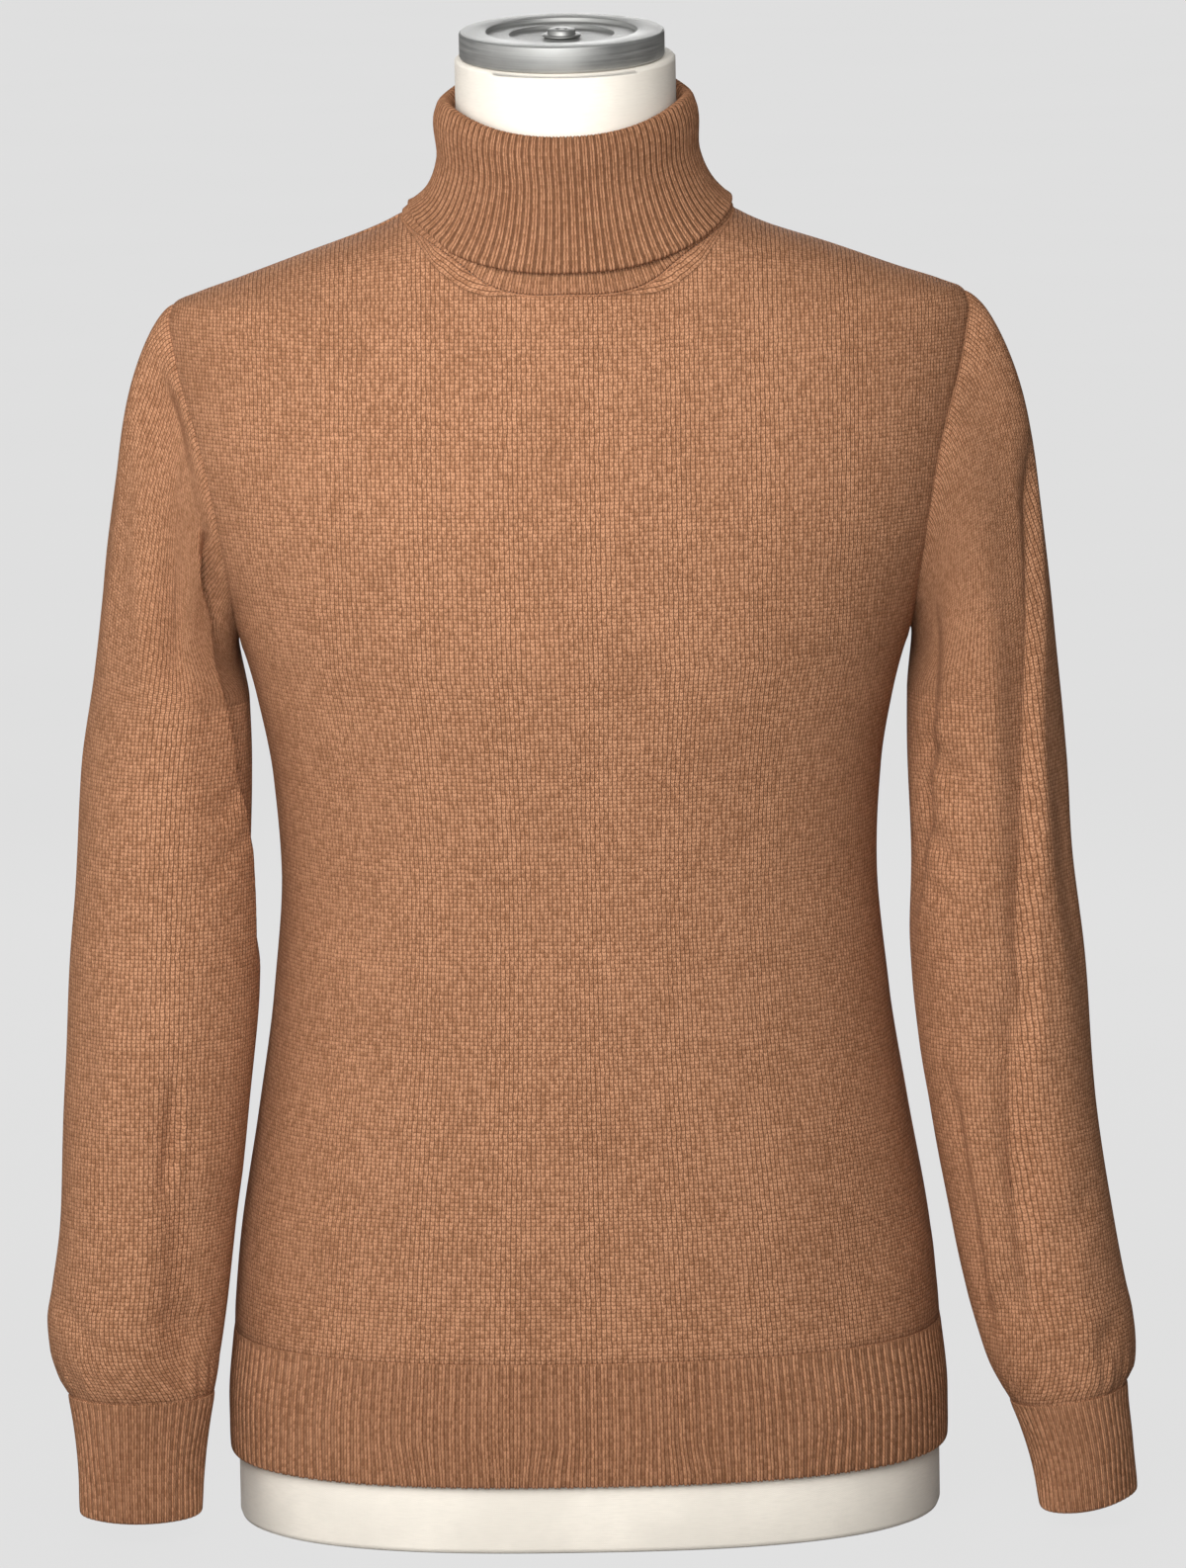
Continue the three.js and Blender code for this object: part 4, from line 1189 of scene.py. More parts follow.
# Half the sections of the neck plate and its bolt: radius and height, then the next point's.
PLATE_PROFILE = [
    (0, 0), (51.2, 0), (52.4, 0.4), (53, 1.5), (53, 12.3), (52.8, 13.1), (52.2, 13.6), (51.2, 13.7),
    (39.8, 13.7), (39.2, 13.5), (38.9, 13.0), (38.6, 11.9), (38.2, 11.5), (37.4, 11.4),
    (27.9, 11.8), (27.2, 11.7), (26.9, 11.4), (26.5, 10.4), (26.1, 10.1), (25.2, 10.0), (0, 10.4),
]
BOLT_PROFILE = [
    (0, 0), (9.6, 0), (10, 0.2), (10, 0.7), (9.6, 0.9), (7.4, 1.0), (7.2, 1.3), (7.1, 3.0),
    (6.8, 3.4), (6.2, 3.6), (3.4, 3.7), (3.1, 3.3), (2.8, 2.6), (0, 2.6),
]


def turned_piece(name, profile, segments, lift, node, material):
    """Lathe-turned piece, tilted and set where the neck plate sits."""
    angle = np.arange(segments) / segments * TAU
    inner = [(r, z) for r, z in profile if r > 0]
    rings = np.array([stack(r * np.cos(angle), r * np.sin(angle), z + lift) for r, z in inner])
    cos, sin = math.cos(CAP_TILT), math.sin(CAP_TILT)
    turn = np.array([[1, 0, 0], [0, cos, -sin], [0, sin, cos]])
    rings = rings @ turn.T + np.array(CAP_PLACE, float)
    piece = rings_mesh(name, rings, material)
    bevel_edges(piece)
    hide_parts(node)
    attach(piece, "root")
    return piece


def bevel_edges(piece):
    """Keeps the turned edges crisp without softening the flats."""
    for polygon in piece.data.polygons:
        polygon.use_smooth = True
    piece.data.set_sharp_from_angle(angle=math.radians(32))


class Nodes:
    """Short hand for building a node tree."""

    def __init__(self, tree):
        self.tree = tree
        self.x = 0

    def add(self, kind, **values):
        node = self.tree.nodes.new(kind)
        self.x += 190
        node.location = (self.x, -(self.x // 1900) * 260)
        for key, value in values.items():
            setattr(node, key, value)
        return node

    def link(self, source, target):
        self.tree.links.new(source, target)

    def math(self, operation, a, b=None, c=None, clamp=False):
        node = self.add("ShaderNodeMath", operation=operation, use_clamp=clamp)
        for socket, value in zip(node.inputs, (a, b, c)):
            if value is None:
                continue
            if isinstance(value, (int, float)):
                socket.default_value = value
            else:
                self.link(value, socket)
        return node.outputs[0]

    def noise(self, vector, scale, detail, rough=0.5, distortion=0.0):
        node = self.add("ShaderNodeTexNoise")
        node.inputs["Scale"].default_value = scale
        node.inputs["Detail"].default_value = detail
        node.inputs["Roughness"].default_value = rough
        node.inputs["Distortion"].default_value = distortion
        self.link(vector, node.inputs["Vector"])
        return node

    def ramp(self, value, low, high, to_low=0.0, to_high=1.0):
        node = self.add("ShaderNodeMapRange", interpolation_type="SMOOTHSTEP")
        ends = {"From Min": low, "From Max": high, "To Min": to_low, "To Max": to_high}
        for name, number in ends.items():
            node.inputs[name].default_value = number
        self.link(value, node.inputs["Value"])
        return node.outputs["Result"]

    def mix(self, share, a, b):
        node = self.add("ShaderNodeMix", data_type="RGBA")
        for socket, value in ((node.inputs[0], share), (node.inputs[6], a), (node.inputs[7], b)):
            if isinstance(value, (int, float, tuple, list)):
                socket.default_value = value
            else:
                self.link(value, socket)
        return node.outputs[2]

    def vector(self, operation, a, b=None):
        node = self.add("ShaderNodeVectorMath", operation=operation)
        for socket, value in zip(node.inputs, (a, b)):
            if value is None:
                continue
            if isinstance(value, (tuple, list)):
                socket.default_value = value
            else:
                self.link(value, socket)
        return node.outputs[0]


def new_group(name, inputs, outputs):
    """Shader node group with named sockets. Returns the tree and its end nodes."""
    tree = bpy.data.node_groups.new(name, "ShaderNodeTree")
    for label, kind, default in inputs:
        socket = tree.interface.new_socket(label, in_out="INPUT", socket_type=kind)
        if default is not None:
            socket.default_value = default
    for label, kind in outputs:
        tree.interface.new_socket(label, in_out="OUTPUT", socket_type=kind)
    nodes = Nodes(tree)
    return tree, nodes, nodes.add("NodeGroupInput"), nodes.add("NodeGroupOutput")


FLOAT, COLOUR, VECTOR = "NodeSocketFloat", "NodeSocketColor", "NodeSocketVector"


def stitch_group():
    """V-shaped knit stitches from wales across and courses along: relief, the share of yarn
    against the gap between stitches, and a value of its own for each stitch."""
    name = "Knit stitches"
    if name in bpy.data.node_groups:
        return bpy.data.node_groups[name]
    tree, n, given, made = new_group(
        name,
        [
            ("Stitches", VECTOR, None),
            ("Slant", FLOAT, 0.4),
            ("Wander", FLOAT, 0.25),
            ("Wale Gap", FLOAT, 0.2),
            ("Course Depth", FLOAT, 0.7),
        ],
        [("Height", FLOAT), ("Yarn", FLOAT), ("Tone", FLOAT)],
    )
    drift = n.noise(given.outputs["Stitches"], 0.32, 3.0)
    shift = n.vector("SUBTRACT", drift.outputs["Color"], (0.5, 0.5, 0.5))
    strength = n.add("ShaderNodeVectorMath", operation="SCALE")
    n.link(shift, strength.inputs[0])
    n.link(given.outputs["Wander"], strength.inputs["Scale"])
    place = n.vector("ADD", given.outputs["Stitches"], strength.outputs[0])
    apart = n.add("ShaderNodeSeparateXYZ")
    n.link(place, apart.inputs[0])
    x, y = apart.outputs[0], apart.outputs[1]
    wale = n.math("PINGPONG", x, 0.5)
    side = n.math("SUBTRACT", 1.0, n.math("MULTIPLY", wale, 2.0))
    slanted = n.math("MULTIPLY", side, given.outputs["Slant"])
    course = n.math("FRACT", n.math("SUBTRACT", y, slanted))
    swing = n.math("ABSOLUTE", n.math("SUBTRACT", n.math("MULTIPLY", course, 2.0), 1.0))
    beside = n.math("DIVIDE", wale, given.outputs["Wale Gap"], clamp=True)
    above = n.math("MULTIPLY", n.ramp(swing, 0.5, 1.0), given.outputs["Course Depth"])
    middle = n.math("MULTIPLY", n.ramp(side, 0.0, 0.3, 1.0, 0.0), 0.22)
    loop = n.math("MULTIPLY", n.math("SUBTRACT", 1.0, above), n.math("SUBTRACT", 1.0, middle))
    yarn = n.math("MULTIPLY", loop, n.math("POWER", beside, 0.7))
    whole = n.vector("FLOOR", n.vector("MULTIPLY", place, (2.0, 1.0, 1.0)))
    tone = n.add("ShaderNodeTexWhiteNoise", noise_dimensions="2D")
    n.link(whole, tone.inputs["Vector"])
    n.link(yarn, made.inputs["Height"])
    # Yarn also masks the painted shade: where it is low, the shadow colour stands for the shade
    # between stitches.
    n.link(yarn, made.inputs["Yarn"])
    n.link(tone.outputs["Value"], made.inputs["Tone"])
    return tree


def heather_group():
    """Uneven dye and mixed fibres of a wool yarn, from the piece's place in space, with painted
    shade: the shadow colour is mixed in where Yarn is low, between the stitches.
    """
    name = "Heathered wool"
    if name in bpy.data.node_groups:
        return bpy.data.node_groups[name]
    tree, n, given, made = new_group(
        name,
        [
            ("Place", VECTOR, None),
            ("Light Yarn", COLOUR, (0.5, 0.25, 0.12, 1)),
            ("Dark Yarn", COLOUR, (0.2, 0.08, 0.03, 1)),
            ("Shadow", COLOUR, (0.1, 0.04, 0.02, 1)),
            ("Yarn", FLOAT, 1.0),
            ("Tone", FLOAT, 0.5),
        ],
        [("Color", COLOUR), ("Fibre", FLOAT)],
    )
    place = given.outputs["Place"]
    patches = n.noise(place, 24.0, 3.0, 0.6).outputs["Fac"]
    flecks = n.noise(place, 260.0, 3.0, 0.7).outputs["Fac"]
    fibre = n.noise(place, 1500.0, 2.0, 0.7, 1.5).outputs["Fac"]
    share = n.math("MULTIPLY_ADD", patches, 0.5, n.math("MULTIPLY", flecks, 0.75))
    share = n.math("ADD", share, n.math("MULTIPLY_ADD", given.outputs["Tone"], 0.7, -0.35))
    share = n.math("ADD", share, n.math("MULTIPLY_ADD", fibre, 0.5, -0.25))
    share = n.ramp(share, 0.2, 1.05)
    wool = n.mix(share, given.outputs["Dark Yarn"], given.outputs["Light Yarn"])
    # Painted shade: the shadow colour is laid where Yarn is low, in the gaps between the stitches.
    shaded = n.mix(given.outputs["Yarn"], given.outputs["Shadow"], wool)
    n.link(shaded, made.inputs["Color"])
    n.link(fibre, made.inputs["Fibre"])
    return tree


def place_group(n, tree, links):
    node = n.add("ShaderNodeGroup")
    node.node_tree = tree
    for key, value in links.items():
        if isinstance(value, (int, float, tuple)):
            node.inputs[key].default_value = value
        else:
            n.link(value, node.inputs[key])
    return node


def start_material(name):
    material = bpy.data.materials.new(name)
    material.use_nodes = True
    tree = material.node_tree
    shader = tree.nodes["Principled BSDF"]
    return material, Nodes(tree), shader


def rgba(colour):
    return (*colour, 1.0)


def finish_wool(n, shader, knit, place, knitted, yarn, depth):
    """Dyes a wool material, paints shade between its stitches, and gives it the relief of its
    stitches and fibres.
    """
    colours = {
        "Light Yarn": rgba(knit.light),
        "Dark Yarn": rgba(knit.dark),
        "Shadow": rgba(knit.shadow),
    }
    ways = {"Place": place, "Yarn": yarn, "Tone": knitted["Tone"]}
    wool = place_group(n, heather_group(), {**colours, **ways}).outputs
    n.link(wool["Color"], shader.inputs["Base Color"])
    n.link(n.ramp(wool["Fibre"], 0.2, 0.8, 0.78, 0.98), shader.inputs["Roughness"])
    bump = n.add("ShaderNodeBump")
    bump.inputs["Strength"].default_value = 0.8
    bump.inputs["Distance"].default_value = depth
    n.link(n.math("MULTIPLY_ADD", wool["Fibre"], 0.4, knitted["Height"]), bump.inputs["Height"])
    n.link(bump.outputs[0], shader.inputs["Normal"])
    shader.inputs["Sheen Weight"].default_value = 0.16
    shader.inputs["Sheen Roughness"].default_value = 0.45
    shader.inputs["Sheen Tint"].default_value = rgba(knit.light)
    shader.inputs["Specular IOR Level"].default_value = 0.12


def jersey_material(knit):
    name = "Camel jersey"
    if name in bpy.data.materials:
        return bpy.data.materials[name]
    material, n, shader = start_material(name)
    wales = n.add("ShaderNodeUVMap", uv_map="Stitches").outputs[0]
    seam = n.add("ShaderNodeUVMap", uv_map="Seam").outputs[0]
    off = n.add("ShaderNodeSeparateXYZ")
    n.link(seam, off.inputs[0])
    stitches = n.add("ShaderNodeMix", data_type="VECTOR")
    n.link(n.math("LESS_THAN", off.outputs[0], 0.0), stitches.inputs[0])
    n.link(wales, stitches.inputs[4])
    n.link(seam, stitches.inputs[5])
    sizes = {"Slant": 0.4, "Wander": 0.7, "Wale Gap": 0.2, "Course Depth": 0.52}
    knitted = place_group(n, stitch_group(), {"Stitches": stitches.outputs[1], **sizes}).outputs
    # Painted shade along the seam line of the Seam map: the yarn darkens to 0.72 within 0.7 wales
    # of it.
    seam_line_shade = n.ramp(n.math("ABSOLUTE", off.outputs[0]), 0.0, 0.7, 0.72, 1.0)
    yarn = n.math("MULTIPLY", knitted["Yarn"], seam_line_shade)
    place = n.add("ShaderNodeTexCoord").outputs["Object"]
    finish_wool(n, shader, knit, place, knitted, yarn, 0.0007)
    return material


def rib_material(knit):
    name = "Camel rib"
    if name in bpy.data.materials:
        return bpy.data.materials[name]
    material, n, shader = start_material(name)
    wales = n.add("ShaderNodeUVMap", uv_map="Stitches").outputs[0]
    shifted = n.vector("ADD", wales, (0.5, 0.0, 0.0))
    opened = n.add("ShaderNodeSeparateXYZ")
    n.link(n.add("ShaderNodeUVMap", uv_map="Opened").outputs[0], opened.inputs[0])
    gap = n.math("MULTIPLY_ADD", opened.outputs[0], -0.1, 0.36)
    sizes = {"Slant": 0.75, "Wander": 0.14, "Wale Gap": gap, "Course Depth": 0.32}
    knitted = place_group(n, stitch_group(), {"Stitches": shifted, **sizes}).outputs
    apart = n.add("ShaderNodeSeparateXYZ")
    n.link(wales, apart.inputs[0])
    # Painted shade in the rib's groove: the purl wale is darkened, less where the rib is stretched
    # open.
    groove = n.ramp(n.math("PINGPONG", apart.outputs[0], 1.5), 0.2, 0.6, 1.0, 0.0)
    depth = n.math("MULTIPLY_ADD", opened.outputs[0], -0.35, 0.68)
    groove = n.math("SUBTRACT", 1.0, n.math("MULTIPLY", groove, depth))
    yarn = n.math("MULTIPLY", knitted["Yarn"], groove)
    place = n.add("ShaderNodeTexCoord").outputs["Object"]
    finish_wool(n, shader, knit, place, knitted, yarn, 0.0006)
    return material


def yarn_material(knit):
    name = "Camel seam yarn"
    if name in bpy.data.materials:
        return bpy.data.materials[name]
    material, n, shader = start_material(name)
    place = n.add("ShaderNodeTexCoord").outputs["Object"]
    ply = n.noise(place, 900.0, 2.0, 0.6, 0.8).outputs["Fac"]
    # Painted shade: 10 to 55 percent of the shadow colour is mixed into the seam yarn, varied by
    # the ply noise.
    yarn = n.ramp(ply, 0.3, 0.7, 0.45, 0.9)
    finish_wool(n, shader, knit, place, {"Tone": ply, "Height": ply}, yarn, 0.0003)
    return material


def canvas_material(form):
    material, n, shader = start_material("Form canvas")
    place = n.add("ShaderNodeTexCoord").outputs["Object"]
    apart = n.add("ShaderNodeSeparateXYZ")
    n.link(place, apart.inputs[0])
    threads = []
    for axis in (0, 1, 2):
        wave = n.math("SINE", n.math("MULTIPLY", apart.outputs[axis], TAU / 0.0011))
        threads.append(wave)
    weave = n.math("MULTIPLY", n.math("ADD", threads[0], threads[1]), threads[2])
    blot = n.noise(place, 14.0, 4.0, 0.6).outputs["Fac"]
    slub = n.noise(n.vector("MULTIPLY", place, (1.0, 1.0, 8.0)), 140.0, 3.0, 0.7).outputs["Fac"]
    light, dim = rgba(form.canvas), rgba([c * 0.86 for c in form.canvas])
    tone = n.mix(n.ramp(blot, 0.3, 0.75), dim, light)
    tone = n.mix(n.ramp(slub, 0.35, 0.75, 0.0, 0.35), tone, rgba([c * 0.8 for c in form.canvas]))
    n.link(tone, shader.inputs["Base Color"])
    n.link(n.ramp(slub, 0.2, 0.8, 0.7, 0.92), shader.inputs["Roughness"])
    bump = n.add("ShaderNodeBump")
    bump.inputs["Strength"].default_value = 0.25
    bump.inputs["Distance"].default_value = 0.0002
    n.link(n.math("MULTIPLY_ADD", weave, 0.25, slub), bump.inputs["Height"])
    n.link(bump.outputs[0], shader.inputs["Normal"])
    shader.inputs["Sheen Weight"].default_value = 0.1
    return material


def metal_material(form):
    name = "Brushed steel"
    if name in bpy.data.materials:
        return bpy.data.materials[name]
    material, n, shader = start_material(name)
    place = n.add("ShaderNodeTexCoord").outputs["Object"]
    settle = n.add("ShaderNodeMapping", vector_type="TEXTURE")
    settle.inputs["Location"].default_value = [c * MM for c in CAP_PLACE]
    settle.inputs["Rotation"].default_value = (CAP_TILT, 0, 0)
    n.link(place, settle.inputs[0])
    apart = n.add("ShaderNodeSeparateXYZ")
    n.link(settle.outputs[0], apart.inputs[0])
    x, y, z = apart.outputs
    radius = n.math("SQRT", n.math("ADD", n.math("MULTIPLY", x, x), n.math("MULTIPLY", y, y)))
    turn = n.math("ARCTAN2", y, x)
    rings = n.add("ShaderNodeCombineXYZ")
    n.link(n.math("MULTIPLY", radius, 1800.0), rings.inputs[0])
    n.link(n.math("MULTIPLY", turn, 1.2), rings.inputs[1])
    n.link(n.math("MULTIPLY", z, 1800.0), rings.inputs[2])
    brush = n.noise(rings.outputs[0], 1.0, 4.0, 0.6).outputs["Fac"]
    smear = n.noise(place, 45.0, 3.0, 0.55).outputs["Fac"]
    share = n.math("MULTIPLY_ADD", brush, 0.6, n.math("MULTIPLY", smear, 0.4))
    tone = n.mix(n.ramp(share, 0.3, 0.7), rgba([c * 0.72 for c in form.metal]), rgba(form.metal))
    n.link(tone, shader.inputs["Base Color"])
    n.link(n.ramp(share, 0.25, 0.75, 0.5, 0.72), shader.inputs["Roughness"])
    shader.inputs["Metallic"].default_value = 1.0
    bump = n.add("ShaderNodeBump")
    bump.inputs["Strength"].default_value = 0.2
    bump.inputs["Distance"].default_value = 0.0001
    n.link(brush, bump.inputs["Height"])
    n.link(bump.outputs[0], shader.inputs["Normal"])
    return material


# Floor: how far it reaches in metres, the share of it that glows to the camera, and how strongly.
FLOOR_REACH = 40.0
FLOOR_SEEN = 0.94
FLOOR_GLOW = 1.06
FILL_WAY = (-0.55, -0.7, 0.45)  # side that the light from all round is strongest on
FILL_ENDS = (0.45, 1.5)
# Lamps: share of the key light's power, place, aim, size in metres and spread in degrees.
LAMPS = {
    "key_light": (1.0, (-0.22, -1.4, 1.06), (0, 0, 0.46), 1.2, 140),
    "side_light": (0.22, (-1.7, -0.5, 0.8), (0, 0, 0.4), 1.2, 150),
    "rear_light": (1.0, (0.0, 2.3, 1.1), (0, 0, 0.4), 0.9, 150),
}
CAMERA_EYE = (0.00794, -5.0, 1.150)
CAMERA_AIM = (0.00794, 0.0, 0.38185)
CAMERA_ROLL = math.radians(1.0)
CAMERA_LENS = 222.8


def floor_material(stage):
    """Pale floor that looks the same all over and lights the object only softly."""
    material, n, shader = start_material("Pale floor")
    place = n.add("ShaderNodeTexCoord").outputs["Object"]
    grain = n.noise(place, 3.0, 3.0, 0.5).outputs["Fac"]
    dim = n.mix(n.ramp(grain, 0.3, 0.7), (0.3, 0.3, 0.3, 1.0), (0.31, 0.31, 0.31, 1.0))
    n.link(dim, shader.inputs["Base Color"])
    shader.inputs["Roughness"].default_value = 0.95
    shader.inputs["Specular IOR Level"].default_value = 0.0
    pale = n.mix(n.ramp(grain, 0.3, 0.7), rgba([c * 0.995 for c in stage.floor]), rgba(stage.floor))
    glow = n.add("ShaderNodeEmission")
    n.link(pale, glow.inputs["Color"])
    glow.inputs["Strength"].default_value = FLOOR_GLOW
    seen = n.add("ShaderNodeLightPath").outputs["Is Camera Ray"]
    both = n.add("ShaderNodeMixShader")
    n.link(n.math("MULTIPLY", seen, FLOOR_SEEN), both.inputs[0])
    n.link(shader.outputs[0], both.inputs[1])
    n.link(glow.outputs[0], both.inputs[2])
    n.link(both.outputs[0], material.node_tree.nodes["Material Output"].inputs["Surface"])
    return material


def build_world(stage):
    """Soft light from all round, strongest from the front, left and above, before which the
    floor's colour runs on."""
    world = bpy.data.worlds.new("Studio")
    bpy.context.scene.world = world
    world.use_nodes = True
    n = Nodes(world.node_tree)
    fill = world.node_tree.nodes["Background"]
    fill.inputs["Color"].default_value = (1.0, 1.0, 1.0, 1.0)
    way = n.add("ShaderNodeTexCoord").outputs["Generated"]
    facing = n.add("ShaderNodeVectorMath", operation="DOT_PRODUCT")
    n.link(way, facing.inputs[0])
    facing.inputs[1].default_value = unit(np.array(FILL_WAY))
    low, high = (share * stage.fill for share in FILL_ENDS)
    strength = n.ramp(facing.outputs["Value"], -0.3, 0.9, low, high)
    n.link(strength, fill.inputs["Strength"])
    seen = n.add("ShaderNodeBackground")
    seen.inputs["Color"].default_value = rgba(stage.floor)
    both = n.add("ShaderNodeMixShader")
    n.link(n.add("ShaderNodeLightPath").outputs["Is Camera Ray"], both.inputs[0])
    n.link(fill.outputs[0], both.inputs[1])
    n.link(seen.outputs[0], both.inputs[2])
    n.link(both.outputs[0], world.node_tree.nodes["World Output"].inputs["Surface"])


def hang_light(name, power, place, aim, size, spread):
    light = bpy.data.lights.new(name, "AREA")
    light.energy = power
    light.size = size
    light.spread = math.radians(spread)
    lamp = bpy.data.objects.new(name, light)
    lamp.location = place
    lamp.rotation_euler = (Vector(aim) - Vector(place)).to_track_quat("-Z", "Y").to_euler()
    lamp.visible_camera = False
    bpy.context.scene.collection.objects.link(lamp)


def set_camera():
    eye, target = Vector(CAMERA_EYE), Vector(CAMERA_AIM)
    ahead = (target - eye).normalized()
    right = Vector((1, 0, 0))
    up = right.cross(ahead)
    roll = CAMERA_ROLL
    across = right * math.cos(roll) - up * math.sin(roll)
    above = right * math.sin(roll) + up * math.cos(roll)
    data = bpy.data.cameras.new("camera")
    data.lens = CAMERA_LENS
    data.sensor_width = 36.0
    data.clip_end = 100.0
    camera = bpy.data.objects.new("camera", data)
    turn = Matrix((across, above, -ahead)).transposed().to_4x4()
    camera.matrix_world = Matrix.Translation(eye) @ turn
    bpy.context.scene.collection.objects.link(camera)
    bpy.context.scene.camera = camera


def build_stage(settings):
    stage = settings.stage
    mesh = bpy.data.meshes.new("floor")
    turn = np.arange(96) / 96 * TAU
    corners = [(FLOOR_REACH * math.cos(a), FLOOR_REACH * math.sin(a), 0) for a in turn]
    mesh.from_pydata(corners, [], [list(range(96))])
    mesh.materials.append(floor_material(stage))
    floor = bpy.data.objects.new("floor", mesh)
    bpy.context.scene.collection.objects.link(floor)
    build_world(stage)
    for name, (share, *hung) in LAMPS.items():
        hang_light(name, stage.key * share, *hung)
    set_camera()
    bpy.context.scene.view_settings.view_transform = "Standard"


def size_property(name, description, default, low, high):
    """Size in metres that a user may change."""
    return FloatProperty(
        name=name,
        description=description,
        default=default,
        min=low,
        max=high,
        precision=5,
        unit="LENGTH",
    )


def colour_property(name, description, default):
    """Colour that a user may change."""
    return FloatVectorProperty(
        name=name,
        description=description,
        subtype="COLOR",
        default=default,
        min=0,
        max=1,
    )


class KnitSettings(bpy.types.PropertyGroup):
    wale: size_property("Wale", "Width of one column of stitches", 0.00245, 0.001, 0.006)
    course: size_property("Course", "Height of one row of stitches", 0.00198, 0.001, 0.006)
    rib_relief: size_property(
        "Rib relief", "How far a rib stands above its groove", 0.0009, 0.0002, 0.002
    )
    light: colour_property("Light fibres", "Colour of the lighter fibres", (0.60, 0.30, 0.165))
    dark: colour_property("Dark fibres", "Colour of the darker fibres", (0.37, 0.17, 0.085))
    # shadow is painted shade: the colour laid between the stitches stands for the shade that falls
    # there.
    shadow: colour_property(
        "Between stitches", "Colour seen between the stitches", (0.085, 0.033, 0.014)
    )


class FormSettings(bpy.types.PropertyGroup):
    canvas: colour_property("Canvas", "Colour of the form's cloth cover", (0.95, 0.885, 0.78))
    metal: colour_property("Neck plate", "Colour of the brushed metal", (0.5, 0.5, 0.485))


class StageSettings(bpy.types.PropertyGroup):
    floor: colour_property("Floor", "Colour of the plain floor", (0.738, 0.738, 0.738))
    key: FloatProperty(
        name="Key light",
        description="Power of the main light",
        default=20,
        min=0,
        max=200,
        unit="POWER",
    )
    fill: FloatProperty(
        name="Fill light",
        description="Strength of the light from all round",
        default=0.22,
        min=0,
        max=5,
    )


class SweaterSettings(bpy.types.PropertyGroup):
    knit: PointerProperty(type=KnitSettings)
    form: PointerProperty(type=FormSettings)
    stage: PointerProperty(type=StageSettings)


class SWEATER_OT_body(bpy.types.Operator):
    """Knit the front and the back"""

    bl_idname = "sweater.body"
    bl_label = "Knit body"

    def execute(self, context):
        for side in ("front", "back"):
            knit_panel(side, context.scene.sweater)
        return {"FINISHED"}


class SWEATER_OT_welts(bpy.types.Operator):
    """Knit the ribbed welts below the front and the back"""

    bl_idname = "sweater.welts"
    bl_label = "Knit welts"

    def execute(self, context):
        for side in ("front", "back"):
            knit_welt(side, context.scene.sweater)
        return {"FINISHED"}


class SWEATER_OT_sleeves(bpy.types.Operator):
    """Knit both sleeves with their folds"""

    bl_idname = "sweater.sleeves"
    bl_label = "Knit sleeves"

    def execute(self, context):
        settings = context.scene.sweater
        left = (LEFT_SLEEVE, LEFT_TROUGHS, LEFT_CREASES, LEFT_FOLDS, 2.8, LEFT_CUFF[0])
        right = (RIGHT_SLEEVE, RIGHT_TROUGHS, RIGHT_CREASES, RIGHT_FOLDS, 0.6, RIGHT_CUFF[0])
        knit_sleeve("sleeve_left", 1, *left, settings)
        knit_sleeve("sleeve_right", -1, *right, settings)
        return {"FINISHED"}


class SWEATER_OT_cuffs(bpy.types.Operator):
    """Knit the ribbed cuffs"""

    bl_idname = "sweater.cuffs"
    bl_label = "Knit cuffs"

    def execute(self, context):
        settings = context.scene.sweater
        left = (LEFT_SLEEVE, LEFT_TROUGHS, LEFT_FOLDS, LEFT_CUFF)
        right = (RIGHT_SLEEVE, RIGHT_TROUGHS, RIGHT_FOLDS, RIGHT_CUFF)
        knit_cuff("cuff_left", 1, *left, settings)
        knit_cuff("cuff_right", -1, *right, settings)
        return {"FINISHED"}


class SWEATER_OT_collar(bpy.types.Operator):
    """Knit the turned-down ribbed collar"""

    bl_idname = "sweater.collar"
    bl_label = "Knit collar"

    def execute(self, context):
        knit_collar(context.scene.sweater)
        return {"FINISHED"}


class SWEATER_OT_seams(bpy.types.Operator):
    """Link the collar, sew in the sleeves and close the sides"""

    bl_idname = "sweater.seams"
    bl_label = "Sew seams"

    def execute(self, context):
        sew_seams(context.scene.sweater)
        return {"FINISHED"}


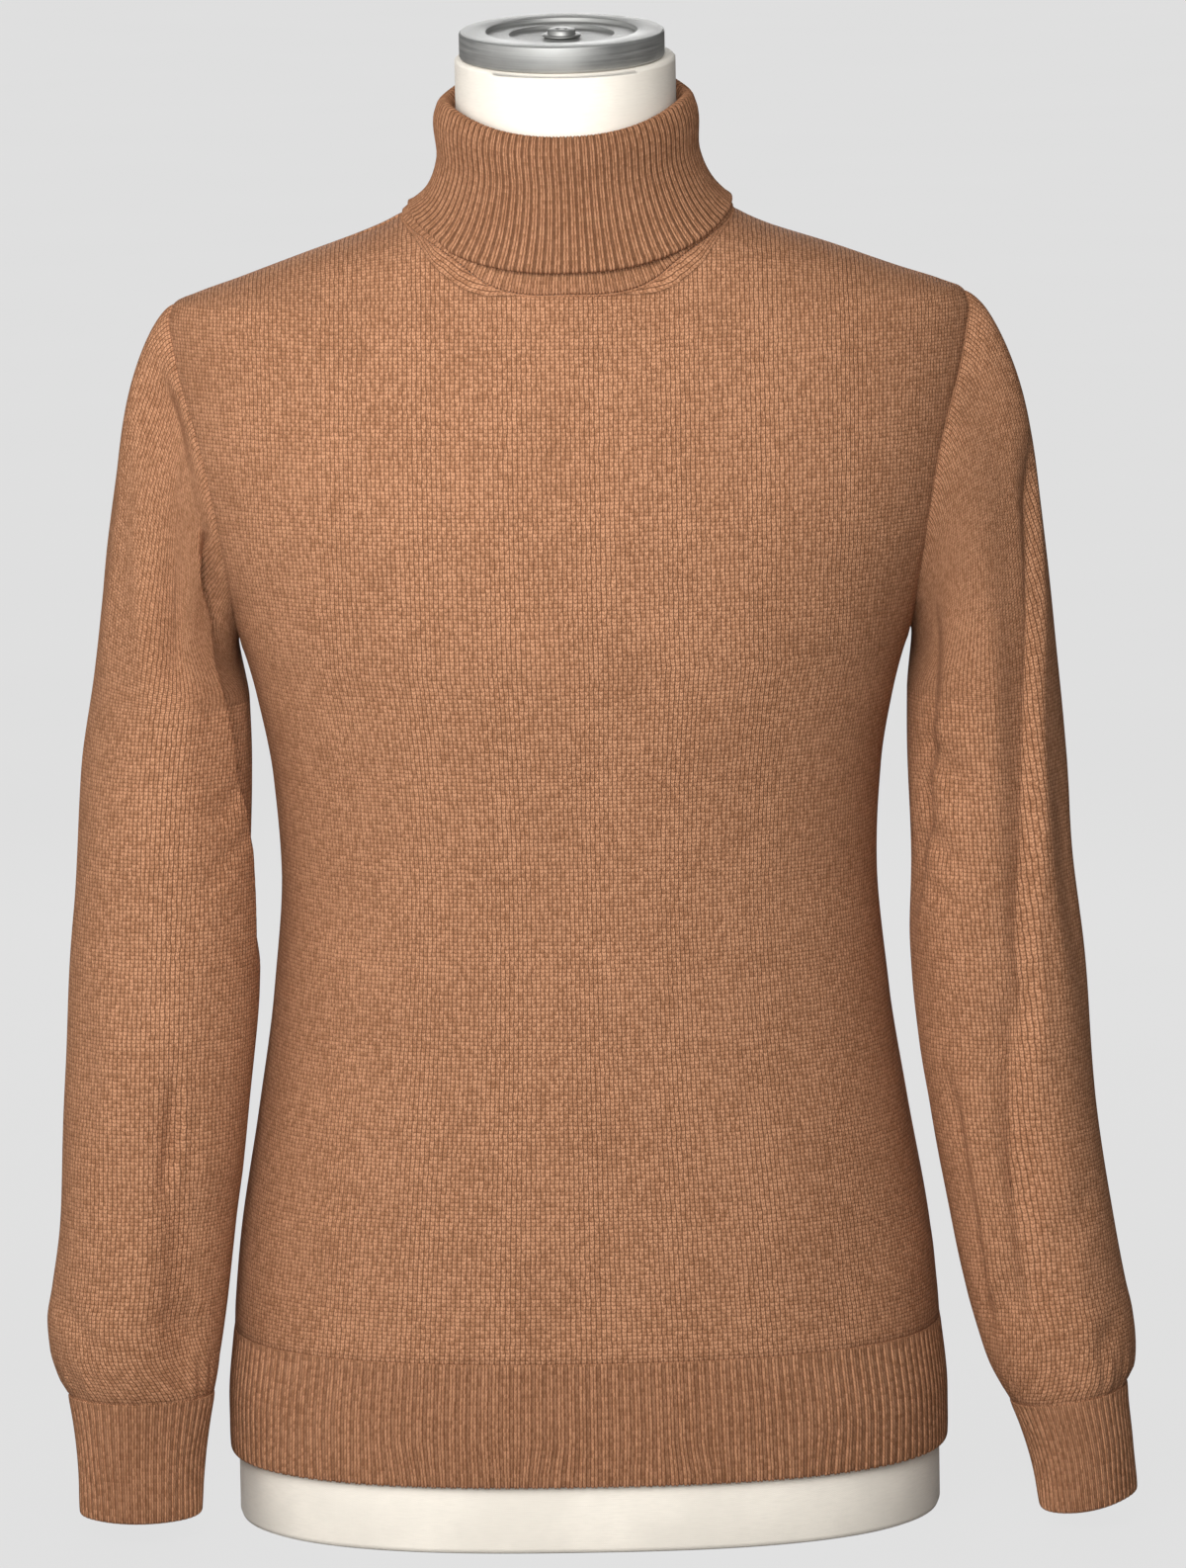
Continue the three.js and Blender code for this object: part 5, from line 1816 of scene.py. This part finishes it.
class SWEATER_OT_form(bpy.types.Operator):
    """Shape the dress form under the sweater"""

    bl_idname = "sweater.form"
    bl_label = "Shape form"

    def execute(self, context):
        build_form(context.scene.sweater)
        return {"FINISHED"}


class SWEATER_OT_plate(bpy.types.Operator):
    """Turn the neck plate and its bolt"""

    bl_idname = "sweater.plate"
    bl_label = "Turn neck plate"

    def execute(self, context):
        metal = metal_material(context.scene.sweater.form)
        turned_piece("neck_plate", PLATE_PROFILE, 144, 0, "neck_cap", metal)
        lift = PLATE_PROFILE[-1][1] + SEAM_GAP
        turned_piece("plate_bolt", BOLT_PROFILE, 64, lift, "cap_bolt", metal)
        return {"FINISHED"}


class SWEATER_OT_stage(bpy.types.Operator):
    """Set the floor, the lights and the camera"""

    bl_idname = "sweater.stage"
    bl_label = "Set stage"

    def execute(self, context):
        build_stage(context.scene.sweater)
        return {"FINISHED"}


class SWEATER_PT_panel(bpy.types.Panel):
    bl_label = "Sweater"
    bl_idname = "SWEATER_PT_panel"
    bl_space_type = "VIEW_3D"
    bl_region_type = "UI"
    bl_category = "Sweater"

    def draw(self, context):
        settings = context.scene.sweater
        for group in (settings.knit, settings.form, settings.stage):
            box = self.layout.box()
            for key in group.__annotations__:
                box.prop(group, key)
        for step in STEPS:
            self.layout.operator(step.bl_idname)


STEPS = (
    SWEATER_OT_stage,
    SWEATER_OT_form,
    SWEATER_OT_plate,
    SWEATER_OT_body,
    SWEATER_OT_welts,
    SWEATER_OT_sleeves,
    SWEATER_OT_cuffs,
    SWEATER_OT_collar,
    SWEATER_OT_seams,
)
CLASSES = (KnitSettings, FormSettings, StageSettings, SweaterSettings, *STEPS, SWEATER_PT_panel)


def register():
    for item in CLASSES:
        bpy.utils.register_class(item)
    bpy.types.Scene.sweater = PointerProperty(type=SweaterSettings)


def unregister():
    del bpy.types.Scene.sweater
    for item in reversed(CLASSES):
        bpy.utils.unregister_class(item)


def main():
    register()
    for step in STEPS:
        family, action = step.bl_idname.split(".")
        getattr(getattr(bpy.ops, family), action)()
    bpy.context.view_layer.update()


if __name__ == "__main__":
    main()
